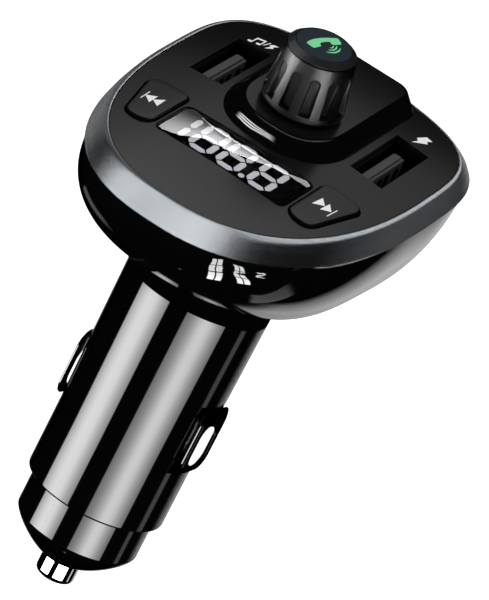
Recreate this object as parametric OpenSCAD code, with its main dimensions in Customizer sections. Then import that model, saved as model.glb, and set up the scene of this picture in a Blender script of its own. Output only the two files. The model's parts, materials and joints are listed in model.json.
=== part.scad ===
// Car FM transmitter: a plug barrel for a 12 V socket with a tilted head.
// The origin is on the plug's axis, where the straight barrel starts; +Z runs up to the head,
// +X is the right of the face and +Y is the back. The head's pieces are drawn in a face frame:
// its origin is where the plug's axis meets the face, its X is +X and its Z leaves the face.

/* [Barrel] */
// Radius of the straight stretch that seats in the socket
barrel_r = 10.35; // [10.2:0.05:10.6]
// Growth of the barrel's radius from the straight stretch to its upper end
barrel_flare = 0.31; // [0.26:0.01:0.5]
// Length of the straight stretch
straight_l = 9.4; // [8.5:0.1:9.4]
// Height of the barrel's upper end
barrel_l = 33.1; // [32:0.1:34]
// Wall of the barrel
barrel_wall = 1.3; // [1.2:0.05:1.4]
// Rounding of the barrel's lower edge
lip_r = 0.35; // [0.2:0.05:0.5]
// Running or seating gap between fixed pieces
seat_gap = 0.05; // [0.03:0.01:0.08]

/* [Nose] */
// Step from the barrel's wall in to the screwed collar
collar_step = 1.15; // [0.9:0.05:1.4]
// Length of the collar's straight side
collar_l = 5.9; // [5.4:0.1:6.4]
// Height of the rounded nose below the collar
nose_l = 5.1; // [4.7:0.1:5.4]
// Radius of the centre pin
pin_r = 2.88; // [2.5:0.02:3]
// Length of the pin outside the nose
pin_out = 3.1; // [2.8:0.1:3.5]
// Travel of the centre pin
pin_travel = 1.8; // [1:0.1:2]
// Radial clearance of pieces that slide or turn
run_gap = 0.06; // [0.04:0.01:0.09]
// Radius of the fuse
fuse_r = 2.6; // [2.4:0.05:2.75]
// Length of the fuse
fuse_l = 20; // [19:0.1:20.5]
// Length of each end cap of the fuse
fuse_cap_l = 4.6; // [4:0.1:6]
// Length of the spring above the fuse at rest
spring_l = 4.8; // [4.6:0.1:5.2]
// Wire of the spring
spring_wire = 0.5; // [0.4:0.05:0.55]

/* [Side clips] */
// Height of a clip's lower edge
clip_low = 9.9; // [9.8:0.1:10.2]
// Length of a clip along the barrel
clip_l = 10.3; // [10:0.1:10.6]
// Width of a clip round the barrel
clip_w = 8.0; // [7.6:0.1:8.2]
// Sheet of a clip
clip_t = 0.45; // [0.35:0.05:0.5]
// How far a clip's face stands out of the straight barrel
clip_out = 0.68; // [0.62:0.02:0.74]
// Width of the slot in a clip
clip_slot_w = 4.4; // [4:0.1:4.8]
// Solid band above the slot
clip_web = 2.9; // [2.5:0.1:3.2]
// Solid band below the slot
clip_foot = 1.0; // [0.8:0.1:1.3]
// Travel of a clip into the barrel
clip_travel = 0.95; // [0.7:0.05:1]

/* [Face] */
// Height of the face over the barrel's upper end, on the plug's axis
head_rise = 26.25; // [25.5:0.05:27]
// Lean of the face towards the front
face_tilt = 16.1; // [14:0.1:18]
// Width of the face beside the display's window, inside the bezel
key_side = 10.2; // [9.9:0.1:10.6]
// Reach of the face to the front
face_front = 29.2; // [28.5:0.1:30]
// Reach of the face to the rear
face_rear = 22.5; // [22.3:0.1:23]
// Where the face is widest, behind the axis
widest_at = 5.5; // [5:0.1:6]
// Radius of the face's crown from side to side
crown_r = 166; // [150:1:200]
// Thickness of the face plate at its middle
plate_t = 2.6; // [2.5:0.05:2.8]

/* [Bezel and bowl] */
// Width of the bezel's bright lip at the front and the sides
lip_w = 0.8; // [0.6:0.05:1]
// Height of the bezel
bezel_h = 2.8; // [2.6:0.1:3]
// Flare of the bezel at the sides
bezel_flare = 2.1; // [1.9:0.1:2.4]
// Flare of the bezel at the front
bezel_front_flare = 3.0; // [2.7:0.1:3.3]
// Flare of the bezel at the rear
bezel_rear_flare = 3.0; // [2.6:0.1:3.3]
// Wall of the bowl
shell_wall = 1.6; // [1.4:0.1:1.8]
// Drop from the bezel to the bowl's widest level
shoulder_drop = 1.5; // [1.2:0.1:1.8]
// Swell of the bowl beyond the bezel at the front
front_swell = 1.3; // [1:0.1:1.5]
// Height of the neck between the barrel and the bowl
neck_l = 3.2; // [2.8:0.1:3.8]

/* [Plinth and knob] */
// Height of the plinth over the face
plinth_h = 1.85; // [1.6:0.05:2]
// Half of the plinth's width at its foot
plinth_half = 9.6; // [9.3:0.1:9.8]
// Reach of the plinth's foot in front of the axis
plinth_front = 6.8; // [6.4:0.1:7]
// Slope of the plinth's wall, seen from above
plinth_slope = 1.95; // [1.7:0.05:2.1]
// Place of the knob's axis behind the plug's axis
knob_at = 3.77; // [3.5:0.01:4]
// Radius of the knob's foot
knob_foot_r = 5.95; // [5.8:0.05:6]
// Radius of the knob under its cap
knob_top_r = 4.94; // [4.8:0.02:5.1]
// Radius of the flat disc on the knob's cap
disc_r = 3.9; // [3.7:0.05:4.1]
// Level of the knob's top over the face
knob_top = 11.92; // [11.5:0.05:12.3]
// Height of the cap's chamfer
cap_h = 0.85; // [0.7:0.05:1]
// Travel of the knob when it is pressed
press_travel = 0.5; // [0.3:0.05:0.55]
// Number of flutes round the knob
flutes = 12; // [8:1:14]
// Width of a flute
flute_w = 1.6; // [1.4:0.05:1.9]
// Depth of a flute at its upper end
flute_d = 0.15; // [0.1:0.05:0.3]

/* [Ports and keys] */
// Distance of each port from the middle of the face
port_at = 13.52; // [13.3:0.02:13.7]
// Place of the ports behind the plug's axis
port_back = 7.47; // [7.2:0.05:7.8]
// Width of a port's opening
port_w = 5.4; // [5.3:0.05:5.5]
// Length of a port's opening
port_l = 13.1; // [12.9:0.05:13.2]
// Sheet of a port's shell
port_sheet = 0.25; // [0.2:0.05:0.3]
// Depth of a port's mouth below the face
port_sunk = 1.3; // [1:0.1:1.5]
// Thickness of a port's tongue
tongue_t = 1.8; // [1.7:0.05:1.9]
// Height of the keys over the face
key_rise = 0.5; // [0.4:0.05:0.6]
// Gap round a key
key_gap = 0.3; // [0.2:0.05:0.35]
// Travel of a key
key_travel = 0.3; // [0.2:0.05:0.3]

/* [Display] */
// Width of the display's window
lens_w = 21.4; // [21:0.1:21.6]
// Length of the window, front to rear
lens_l = 9.0; // [8.8:0.1:9.2]
// Distance of the window's middle in front of the axis
lens_front = 12.35; // [12.2:0.05:12.5]
// Thickness of the window
lens_t = 0.7; // [0.65:0.05:0.9]
// Width of a digit
digit_w = 3.9; // [3.6:0.1:4]
// Space between two digits
digit_gap = 0.62; // [0.5:0.02:0.8]
// Stroke of a digit's segments
digit_stroke = 0.85; // [0.7:0.05:0.9]

/* [Boards] */
// Thickness of the circuit boards
board_t = 1.2; // [1:0.1:1.3]
// Room between the face plate and the upper board
board_room = 3.0; // [2.9:0.1:3.2]
// Depth of a port's shell below the face
port_deep = 13.8; // [13.5:0.1:14.2]
// Space beside the converter board in the barrel's core
converter_side_gap = 0.6; // [0.4:0.1:1]

/* [Hidden] */
// Overrun of every cut
cut = 0.5;
$fn = 64;
// Facets of the crown and of the large turned pieces
fine_fn = 180;
// Corners of the face's outline
outline_n = 72;
// Steps of the bowl from its shoulder to its neck
bowl_n = 13;

// Roundness of the face's outline, front and rear halves
front_round_share = 2.3;
rear_round_share = 3.8;
// Roundness of the bowl's outline at the rear
bowl_rear_round_share = 4.2;
// Fullness of the bowl's curve at the front, the rear and the sides, and how it passes between them
bowl_full_shares = [1.51, 2.6, 1.87];
bowl_blend_share = 3.6;
// Roundness of the nose and of the plinth's front
nose_round_share = 1.27;
plinth_round_share = 2.35;
// Width of the bezel's lip at the rear against its width elsewhere
rear_lip_share = 0.35;
// Step of the bowl's shoulder in from the bezel's foot at the sides, and out at the rear
shoulder_side = 0.85;
rear_swell = 0.5;
// Place of the bowl's ring between foot and shoulder, and the step of its inner edge
swell_share = 0.6;
swell_drop_share = 0.35;
rim_inset = 0.2;

// Radii of the barrel and its core
barrel_top_r = barrel_r + barrel_flare;
sleeve_inner_r = barrel_r - barrel_wall;
core_r = sleeve_inner_r - 2 * seat_gap;
core_bore_wall = 0.6;
core_bore_r = fuse_r + core_bore_wall;
contact_ledge = 0.4;
contact_r = core_bore_r + contact_ledge;
core_wall = 2.75;
core_cavity_r = core_r - core_wall;
spigot_step = 1.2;
neck_inner_r = core_cavity_r + spigot_step;

// Nose and centre pin
collar_r = barrel_r - collar_step;
thread_r = sleeve_inner_r - seat_gap;
collar_low = -lip_r - collar_l;
nose_z = collar_low - nose_l;
tip_z = nose_z - pin_out;
collar_top = 6.2;
nose_wall = 1.2;
pin_dome = 0.75;
flange_t = 1.2;
flange_rim = 0.8;
flange_r = pin_r + flange_rim;
flange_gap = 0.1;
fuse_gap = 0.3;
pin_stop_gap = 0.4;

// Levels along the plug's axis
pin_top = nose_z + nose_wall + flange_t + seat_gap;
fuse_z = pin_top;
fuse_top = fuse_z + fuse_l;
fuse_glass_step = 0.2;
contact_z = fuse_top + spring_l;
contact_t = 0.8;
coil_step = 0.5;
spigot_l = 5.9;
core_top = barrel_l - spigot_l - 4 * seat_gap;
neck_h = barrel_l + neck_l;
face_h = barrel_l + head_rise;

// Side clips: face, tabs and windows, with the flat left between the round ends of a slot
end_fit = 0.02;
clip_face = barrel_r + clip_out;
clip_corner = 2.2;
clip_edge = clip_t / 2;
tab_w = 3.0;
tab_reach = 0.9;
tab_margin = 0.25;
tab_room_gap = 0.25;
tab_slot_gap = 0.15;
clip_tab_in = core_r - tab_reach;
tab_low = clip_low + tab_margin;
tab_high = clip_low + clip_l - clip_t - tab_reach;
clip_side_gap = 0.25;
clip_end_gap = 0.3;
window_depth = 1.2;
strap_t = 0.2;
strap_w = 3.8;
strap_gap = 0.02;
strap_end_gap = 0.4;

// Levels in the face frame
face_half = lens_w / 2 + key_side;
plate_drop = crown_drop(face_half);
ui_top = -plate_t - board_room;
ui_bottom = ui_top - board_t;
power_top = -port_deep;
power_bottom = power_top - board_t;

// Plinth and pad
seat_depth = 1.2;
pad_t = 0.3;
pad_inset = 0.35;
plinth_rear_gap = 0.5;
plinth_overhang = 0.4;
plinth_corner = 2.4;
plinth_slab = 0.02;
plinth_front_slope_share = 1.2;

// Bezel: widths and levels of its section
lip_rise = 0.12;
lip_drop = 0.05;

// Knob and cap
knob_gap = 0.15;
knob_foot = plinth_h + press_travel + knob_gap;
cap_seam = knob_top - cap_h;
cap_gap = 0.02;
knob_edge = 0.25;
cap_rim = 0.3;
cap_spigot_r = disc_r - cap_rim;
cap_spigot_l = 0.95;
flute_foot_gap = 1.05;
flute_top_gap = 1.9;
flute_corner = 0.3;

// Knob's encoder
encoder_w = 11.7;
encoder_l = 12;
encoder_gap = 0.2;
encoder_top = -seat_depth - seat_gap;
bushing_r = 3.5;
bushing_gap = 0.1;
bushing_step = 0.85;
bushing_top = plinth_h - bushing_step;
hub_r = 2.6;
hub_bore_r = 1.7;
rotor_r = 4.6;
rotor_t = 1.8;
rotor_lift = 0.5;
rotor_z = ui_top + rotor_lift;
shaft_r = 3.0;
shaft_gap = 0.12;
shaft_foot_gap = 0.1;
shaft_step = 2.4;
shaft_top = cap_seam - shaft_step;
shaft_flat = 1.5;
shaft_flat_l = 4;
shaft_fit = 0.02;

// Keys: corners of a key's opening, out from the window's end as shares of key_side, and back
// from its middle and round as shares of lens_l
key_out_shares = [0.191, 0.515, 0.299, 0.26];
key_back_shares = [0.539, 0.528, -0.317, -0.306];
key_round_shares = [0.183, 0.206, 0.25, 0.261];
key_middle_shares = [0.348, 0.139];
key_middle = [lens_w / 2 + key_side * key_middle_shares[0], lens_l * key_middle_shares[1] - lens_front];
key_flange = 0.55;
key_flange_t = 0.5;
key_low = -plate_t - plate_drop / 2 - seat_gap - key_flange_t;
switch_size = 5.2;
switch_floor = 0.1;
switch_gap = 0.1;
plunger_r = 1.0;
plunger_lift = 0.45;

// Display: window, ledge and digits
lens_corner = 1.25;
lens_ledge = 0.55;
lens_strips = 24;
block_margin = 0.7;
film_gap = 0.04;
film_t = 0.08;
digit_margin = 0.875;
digit_parting = 0.1;
digits_side = 0.4;
digits_back = 0.15;
dot_room = 0.61;
one_room = 0.21;
dot_r = 0.45;
dot_side = 0.09;
dot_lift = 0.13;
block_top = -lens_t - film_gap - film_t;
digit_h = lens_l - 2 * digit_margin;
digit_across = (digit_w - digit_stroke) / 2;
digit_along = (digit_h - digit_stroke) / 2;

// Screws that hold the upper board to the face plate
screw_side_gap = 2.9;
screw_side_front = 1.4;
screw_front_gap = 6.6;
screw_side_at = [face_half - screw_side_gap, -screw_side_front];
screw_front_at = face_front - screw_front_gap;
boss_r = 1.7;
screw_r = 0.75;
screw_head_r = 1.35;
screw_head_t = 0.8;
screw_reach = 2.9;
screw_fit = 0.02;
screw_end_gap = 0.3;
screw_board_gap = 0.05;

// Ports: tongue and contacts
tongue_off = -0.85;
tongue_l = 10.4;
tongue_sunk = 0.7;
tongue_top = -port_sunk - tongue_sunk;
tongue_foot_h = 1.5;
tongue_bevel = 0.4;
strip_t = 0.15;
strip_w = 1;
strip_l = 7.4;
strip_low = 1.2;
// Places of the contacts along the tongue, as shares of tongue_l
strip_shares = [-0.337, -0.096, 0.096, 0.337];

// Boards and their parts
board_margin = 2.0;
board_port_gap = 0.2;
power_half = 16.6;
power_front = 4.6;
power_rear = 15.0;
header_w = 12;
header_l = 2.4;
header_margin = 0.4;
link_w = 9;
link_h = 3;
link_pin_w = 0.5;
link_pin_l = 1.6;
link_pin_drop = 1.2;
link_gap = 0.05;
// Places of the link's pins along it, as shares of link_w
link_pin_shares = [-0.33, -0.11, 0.11, 0.33];
radio_w = 12;
radio_l = 8;
radio_h = 1.6;
mic_r = 2;
mic_h = 1.4;
mic_side = 6;
converter_y = 0.6;
converter_half = core_cavity_r - converter_side_gap;
converter_low = contact_z + contact_t + seat_gap;
converter_rise = 9.9;
converter_high = barrel_l + converter_rise;
converter_l = converter_high - converter_low;
converter_face = board_t - converter_y;
inductor_side_gap = 3.0;
inductor_face_gap = 2.0;
inductor_r = core_cavity_r - inductor_side_gap;
inductor_h = core_cavity_r - converter_face - inductor_face_gap;
can_gap = 1.2;
can_r = (core_cavity_r - converter_face - can_gap) / 2;
chip_t = 1.6;
chip_side_gap = 3.2;
chip_half = core_cavity_r - chip_side_gap;
// Where the inductor, the capacitor and the regulator sit on the board, and the last two's lengths
inductor_at_share = 0.19;
can_at_share = 0.38;
can_length_share = 0.34;
chip_at_share = 0.34;
chip_length_share = 0.3;

// Points of a rounded outline that is widest at widest_at, counter-clockwise
function side_power(value, power) = sign(value) * pow(abs(value), power);
function round_outline(half, front, rear, rear_round = rear_round_share) =
    [for (i = [0:outline_n - 1])
        let (a = 360 * i / outline_n, n = sin(a) < 0 ? front_round_share : rear_round)
            [half * side_power(cos(a), 2 / n),
             widest_at + (sin(a) < 0 ? front + widest_at : rear - widest_at) * side_power(sin(a), 2 / n)]];
// Drop of the crown at a distance from the middle
function crown_drop(u) = crown_r - sqrt(crown_r * crown_r - u * u);
// A point of the face frame in the part's own frame
function from_face(p) = [p[0], p[1] * cos(face_tilt) - p[2] * sin(face_tilt),
    face_h + p[1] * sin(face_tilt) + p[2] * cos(face_tilt)];
// Outline points carried on the crown at a level
function on_crown(outline, level) = [for (p = outline) [p[0], p[1], level - crown_drop(p[0])]];
// Triangles of a closed loop of rings that each have count points
function loop_faces(rings, count) = [for (k = [0:rings - 1]) for (i = [0:count - 1])
    let (j = (i + 1) % count, m = (k + 1) % rings)
        each [[k * count + i, m * count + i, m * count + j], [k * count + i, m * count + j, k * count + j]]];
function all_points(rings) = [for (ring = rings) for (p = ring) p];

module in_face(u = 0, v = 0, w = 0) {
    translate([0, 0, face_h]) rotate([face_tilt, 0, 0]) translate([u, v, w]) children();
}

// Everything below the crown, lifted by a rise
module crown(rise = 0) {
    translate([0, 0, rise - crown_r]) rotate([90, 0, 0])
        cylinder(r = crown_r, h = 4 * face_front, center = true, $fn = 4 * fine_fn);
}

module rounded_rect(w, l, r) {
    square([w - 2 * r, l], center = true);
    square([w, l - 2 * r], center = true);
    for (x = [-1, 1], y = [-1, 1]) translate([x * (w / 2 - r), y * (l / 2 - r)]) circle(r = r);
}

module mirrored(left) {
    mirror([left ? 1 : 0, 0, 0]) children();
}

module at_screws(level) {
    for (x = [-1, 1]) translate([x * screw_side_at[0], screw_side_at[1], level]) children();
    translate([0, -screw_front_at, level]) children();
}

// Barrel

module plug_sleeve() {
    color([0.07, 0.07, 0.075]) difference() {
        rotate_extrude($fn = fine_fn) polygon([
            [sleeve_inner_r, -lip_r], [barrel_r - lip_r, -lip_r],
            for (a = [15:15:75]) [barrel_r - lip_r + lip_r * sin(a), -lip_r * cos(a)],
            [barrel_r, 0], [barrel_r, straight_l], [barrel_top_r, barrel_l], [sleeve_inner_r, barrel_l]]);
        for (side = [-1, 1]) clip_window(side);
    }
}

module clip_window(side) {
    window_w = clip_w + 2 * clip_side_gap;
    inside = core_r - window_depth;
    outside = barrel_top_r + cut;
    translate([side > 0 ? inside : -outside, -window_w / 2, clip_low - clip_end_gap])
        cube([outside - inside, window_w, clip_l + 2 * clip_end_gap]);
}

module nose_collar() {
    flange_room = flange_r + run_gap + flange_gap;
    pin_hole = pin_r + run_gap;
    fuse_room = fuse_r + run_gap + fuse_gap;
    stop_z = pin_top + pin_travel + pin_stop_gap;
    color([0.06, 0.06, 0.065]) rotate_extrude($fn = fine_fn) polygon([
        for (a = [90:-7.5:0]) [pin_hole + (collar_r - pin_hole) * pow(cos(a), 2 / nose_round_share),
            collar_low - nose_l * pow(sin(a), 2 / nose_round_share)],
        [collar_r, -lip_r - seat_gap], [thread_r, -lip_r - seat_gap],
        [thread_r, collar_top], [fuse_room, collar_top], [fuse_room, stop_z], [flange_room, stop_z],
        [flange_room, nose_z + nose_wall], [pin_hole, nose_z + nose_wall]]);
}

module barrel_core() {
    low = collar_top + seat_gap;
    shelf = contact_z + contact_t;
    tab_in = clip_tab_in - clip_travel - tab_room_gap;
    color([0.1, 0.1, 0.11]) difference() {
        translate([0, 0, low]) cylinder(r = core_r, h = core_top - low, $fn = fine_fn);
        translate([0, 0, low - cut]) cylinder(r = core_bore_r, h = contact_z - low + cut);
        translate([0, 0, contact_z - seat_gap]) cylinder(r = contact_r + seat_gap, h = contact_t + 2 * seat_gap);
        translate([0, 0, shelf]) cylinder(r = core_cavity_r, h = core_top - shelf + cut);
        for (side = [-1, 1], z = [tab_low, tab_high])
            translate([side > 0 ? tab_in : -core_r - cut, -tab_w / 2 - tab_slot_gap, z - tab_slot_gap])
                cube([core_r + cut - tab_in, tab_w + 2 * tab_slot_gap, clip_t + 2 * tab_slot_gap]);
    }
}

module spring_contact() {
    color([0.75, 0.6, 0.3]) translate([0, 0, contact_z]) cylinder(r = contact_r, h = contact_t);
}

module tip_spring() {
    turns = 4.5;
    coil_r = fuse_r - coil_step;
    rise = spring_l - spring_wire;
    steps = 8 * turns;
    sides = 6;
    rings = [for (i = [0:steps]) let (a = 360 * turns * i / steps, z = fuse_top + spring_wire / 2 + rise * i / steps)
        [for (s = [0:sides - 1]) let (b = 360 * s / sides, r = coil_r + spring_wire / 2 * cos(b))
            [r * cos(a), r * sin(a), z + spring_wire / 2 * sin(b)]]];
    color([0.78, 0.78, 0.8]) polyhedron(all_points(rings), concat(
        [for (i = [0:steps - 1]) for (s = [0:sides - 1]) let (t = (s + 1) % sides)
            each [[i * sides + s, (i + 1) * sides + s, (i + 1) * sides + t],
                  [i * sides + s, (i + 1) * sides + t, i * sides + t]]],
        [[for (s = [0:sides - 1]) s], [for (s = [sides - 1:-1:0]) steps * sides + s]]));
}

module tip_pin() {
    color([0.8, 0.8, 0.82]) rotate_extrude($fn = fine_fn) polygon([
        [0, tip_z], [pin_r - pin_dome, tip_z],
        for (a = [15:15:75]) [pin_r - pin_dome + pin_dome * sin(a), tip_z + pin_dome - pin_dome * cos(a)],
        [pin_r, tip_z + pin_dome], [pin_r, nose_z + nose_wall + seat_gap],
        [flange_r, nose_z + nose_wall + seat_gap], [flange_r, pin_top], [0, pin_top]]);
}

module fuse_tube() {
    color([0.85, 0.87, 0.86]) translate([0, 0, fuse_z + fuse_cap_l])
        cylinder(r = fuse_r - fuse_glass_step, h = fuse_l - 2 * fuse_cap_l);
}

module fuse_caps() {
    color([0.75, 0.75, 0.77]) for (z = [fuse_z, fuse_top - fuse_cap_l])
        translate([0, 0, z]) cylinder(r = fuse_r, h = fuse_cap_l);
}

// Side clips

module clip_outline(inset) {
    slot_l = clip_l - clip_web - clip_foot;
    slot_r = (clip_slot_w - end_fit) / 2 + inset;
    difference() {
        translate([0, clip_low + clip_l / 2])
            rounded_rect(clip_w - 2 * inset, clip_l - 2 * inset, clip_corner - inset);
        translate([0, clip_low + clip_foot + slot_l / 2])
            rounded_rect(clip_slot_w + 2 * inset, slot_l + 2 * inset, slot_r);
    }
}
module side_clip(left) {
    color([0.82, 0.82, 0.84]) mirrored(left) {
        translate([clip_face - clip_t, 0, 0]) rotate([90, 0, 90])
            linear_extrude(clip_t - clip_edge) clip_outline(0);
        translate([clip_face - clip_t, 0, 0]) rotate([90, 0, 90]) linear_extrude(clip_t) clip_outline(clip_edge);
        for (z = [tab_low, tab_high]) translate([clip_tab_in, -tab_w / 2, z])
            cube([clip_face - clip_t / 2 - clip_tab_in, tab_w, clip_t]);
    }
}

module ground_strap(left) {
    low = tab_low + clip_t + strap_end_gap;
    color([0.8, 0.8, 0.78]) mirrored(left) translate([core_r + strap_gap, -strap_w / 2, low])
        cube([strap_t, strap_w, tab_high - strap_end_gap - low]);
}

// Head shells

module neck_tube() {
    color([0.04, 0.04, 0.045]) rotate_extrude($fn = fine_fn) polygon([
        [neck_inner_r, barrel_l - spigot_l], [core_r, barrel_l - spigot_l], [core_r, barrel_l + seat_gap],
        [barrel_top_r, barrel_l + seat_gap], [barrel_top_r, neck_h + shell_wall],
        [neck_inner_r, neck_h + shell_wall]]);
}

// The bowl's outer wall, or its inner one when inset by the wall
bowl_half = face_half + bezel_flare - shoulder_side;
bowl_front = face_front + bezel_front_flare + front_swell;
bowl_rear = face_rear + bezel_rear_flare + rear_swell;
neck_hole_r = (barrel_top_r + seat_gap) / cos(360 / outline_n);
function bowl_fullness(s) = bowl_full_shares[2]
    + (bowl_full_shares[s < 0 ? 0 : 1] - bowl_full_shares[2]) * pow(abs(s), bowl_blend_share);
function bowl_ring(inset, turn) = let (
    shoulder = on_crown(round_outline(bowl_half - inset, bowl_front - inset, bowl_rear - inset,
        bowl_rear_round_share), -bezel_h - shoulder_drop))
    [for (p = shoulder) let (q = from_face(p), a = atan2(q[1], q[0]), full = 2 / bowl_fullness(sin(a)),
        inward = 1 - pow(cos(turn), full), down = pow(sin(turn), full))
        [q[0] + (neck_hole_r * cos(a) - q[0]) * inward, q[1] + (neck_hole_r * sin(a) - q[1]) * inward,
         q[2] + (neck_h + inset - q[2]) * down]];
function bowl_rim(inset, swell, level) = [for (p = on_crown(round_outline(
    face_half + bezel_flare - shoulder_side * swell - inset,
    face_front + bezel_front_flare + front_swell * swell - inset,
    face_rear + bezel_rear_flare + rear_swell * swell - inset), level)) from_face(p)];

module lower_shell() {
    turns = [for (k = [0:bowl_n - 1]) 90 * k / (bowl_n - 1)];
    half_way = bowl_rim(0, swell_share, -bezel_h - swell_drop_share * shoulder_drop);
    rings = concat([bowl_rim(0, 0, -bezel_h - seat_gap), half_way], [for (t = turns) bowl_ring(0, t)],
        [for (k = [bowl_n - 1:-1:0]) bowl_ring(shell_wall, turns[k])],
        [bowl_rim(shell_wall + rim_inset, 0, -bezel_h - seat_gap)]);
    color([0.03, 0.03, 0.035]) polyhedron(all_points(rings), loop_faces(len(rings), outline_n));
}

function bezel_outline(out_share, extra) = round_outline(face_half + bezel_flare * out_share + extra,
    face_front + bezel_front_flare * out_share + extra,
    face_rear + bezel_rear_flare * out_share + max(extra * rear_lip_share, min(extra, seat_gap)));

// Levels and reach of the bezel's section: reach as a share of the flare, extra reach and level
module bezel_ring() {
    section = [[0, seat_gap, 0], [0, lip_w / 2, lip_rise], [0, lip_w, -lip_drop],
        [0.5, lip_w / 2, -bezel_h * 0.42], [0.84, 0, -bezel_h * 0.75], [1, 0, -bezel_h], [0, seat_gap, -bezel_h]];
    rings = [for (s = section) [for (p = on_crown(bezel_outline(s[0], s[1]), s[2])) from_face(p)]];
    color([0.4, 0.42, 0.44]) polyhedron(all_points(rings), loop_faces(len(rings), outline_n));
}

// Face

module key_shape(shrink) {
    hull() for (i = [0:3])
        translate([lens_w / 2 + key_side * key_out_shares[i], lens_l * key_back_shares[i] - lens_front])
            circle(r = lens_l * key_round_shares[i] - shrink, $fn = 32);
}

module plinth_outline(inset, out_back = 0) {
    half = plinth_half - inset;
    bend = knob_at;
    reach = plinth_front + bend - inset * plinth_front_slope_share;
    rear = face_rear - plinth_rear_gap + out_back;
    corner = plinth_corner;
    polygon([
        for (a = [180:6:360]) [half * side_power(cos(a), 2 / plinth_round_share),
            bend + reach * side_power(sin(a), 2 / plinth_round_share)],
        for (a = [0:15:90]) [half - corner + corner * cos(a), rear - corner + corner * sin(a)],
        for (a = [90:15:180]) [corner - half + corner * cos(a), rear - corner + corner * sin(a)]]);
}

module port_cut(w, l, low, high) {
    for (side = [-1, 1]) translate([side * port_at, port_back, (low + high) / 2])
        cube([w, l, high - low], center = true);
}

module face_plate() {
    color([0.2, 0.2, 0.195]) in_face() difference() {
        union() {
            intersection() {
                translate([0, 0, -plate_t - plate_drop / 2])
                    linear_extrude(2 * plate_t) polygon(round_outline(face_half, face_front, face_rear));
                crown();
            }
            at_screws(ui_top) cylinder(r = boss_r, h = board_room + screw_end_gap);
        }
        translate([0, 0, -seat_depth]) linear_extrude(seat_depth + cut) offset(delta = seat_gap) plinth_outline(0);
        translate([0, knob_at, -plate_t])
            cube([encoder_w + 2 * encoder_gap, encoder_l + 2 * encoder_gap, 3 * plate_t], center = true);
        port_cut(port_w, port_l, -2 * plate_t, cut);
        translate([0, -lens_front, -lens_t]) linear_extrude(lens_t + cut)
            rounded_rect(lens_w + 2 * seat_gap, lens_l + 2 * seat_gap, lens_corner + seat_gap);
        translate([0, -lens_front, -plate_t])
            cube([lens_w - 2 * lens_ledge, lens_l - 2 * lens_ledge, 4 * plate_t], center = true);
        for (left = [false, true]) mirrored(left) translate([0, 0, -2 * plate_t])
            linear_extrude(2 * plate_t + cut) key_shape(0);
        at_screws(ui_top - cut) cylinder(r = screw_r + screw_fit, h = screw_reach + screw_end_gap + cut - board_t);
    }
}

module knob_plinth() {
    color([0.03, 0.03, 0.035]) in_face() difference() {
        union() {
            translate([0, 0, -seat_depth]) linear_extrude(seat_depth) plinth_outline(0);
            hull() {
                translate([0, 0, -plinth_slab]) linear_extrude(plinth_slab) plinth_outline(0);
                translate([0, 0, plinth_h - plinth_slab]) linear_extrude(plinth_slab)
                    plinth_outline(plinth_slope, plinth_overhang);
            }
        }
        translate([0, 0, plinth_h - pad_t]) linear_extrude(pad_t + cut)
            offset(delta = seat_gap) plinth_outline(plinth_slope + pad_inset, plinth_overhang - pad_inset);
        translate([0, knob_at, -seat_depth - cut])
            cylinder(r = bushing_r + bushing_gap, h = plinth_h + seat_depth + 2 * cut);
    }
}

module plinth_pad() {
    color([0.21, 0.21, 0.205]) in_face() difference() {
        translate([0, 0, plinth_h - pad_t]) linear_extrude(pad_t)
            plinth_outline(plinth_slope + pad_inset, plinth_overhang - pad_inset);
        translate([0, knob_at, plinth_h - pad_t - cut]) cylinder(r = bushing_r + bushing_gap, h = pad_t + 2 * cut);
    }
}

module display_lens() {
    low = seat_gap - lens_t;
    arc = [for (i = [lens_strips:-1:0]) let (u = lens_w * (i / lens_strips - 0.5)) [u, -crown_drop(u)]];
    color([0.05, 0.05, 0.06, 0.8]) in_face(0, -lens_front) intersection() {
        translate([0, 0, low]) linear_extrude(2 * lens_t) rounded_rect(lens_w, lens_l, lens_corner);
        rotate([90, 0, 0]) linear_extrude(2 * lens_l, center = true)
            polygon(concat([[-lens_w, -crown_drop(lens_w / 2)], [-lens_w, low - cut], [lens_w, low - cut],
                [lens_w, -crown_drop(lens_w / 2)]], arc));
    }
}

module display_block() {
    color([0.06, 0.06, 0.06]) in_face(0, -lens_front, ui_top) linear_extrude(block_top - ui_top)
        square([lens_w - 2 * block_margin, lens_l - 2 * block_margin], center = true);
}

// A level segment lies along the top, and its outer side is longer than its inner one
module level_segment() {
    outer = digit_across + digit_stroke / 2 - digit_parting;
    inner = digit_across - digit_stroke / 2 - digit_parting;
    top = digit_along + digit_stroke / 2;
    polygon([[-outer, top], [outer, top], [inner, top - digit_stroke], [-inner, top - digit_stroke]]);
}

// An upright segment lies on the right above the middle
module upright_segment() {
    right = digit_across + digit_stroke / 2;
    high = digit_along + digit_stroke / 2 - digit_parting;
    polygon([[right, high], [right, digit_parting], [digit_across, digit_parting],
        [right - digit_stroke, digit_stroke / 2 + digit_parting], [right - digit_stroke, high - digit_stroke]]);
}

module middle_segment() {
    long = digit_across - digit_parting;
    polygon([[-long, 0], [digit_stroke / 2 - long, digit_stroke / 2], [long - digit_stroke / 2, digit_stroke / 2],
        [long, 0], [long - digit_stroke / 2, -digit_stroke / 2], [digit_stroke / 2 - long, -digit_stroke / 2]]);
}

module eight() {
    for (y = [0, 1]) mirror([0, y, 0]) {
        level_segment();
        for (x = [0, 1]) mirror([x, 0, 0]) upright_segment();
    }
    middle_segment();
}

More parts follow.
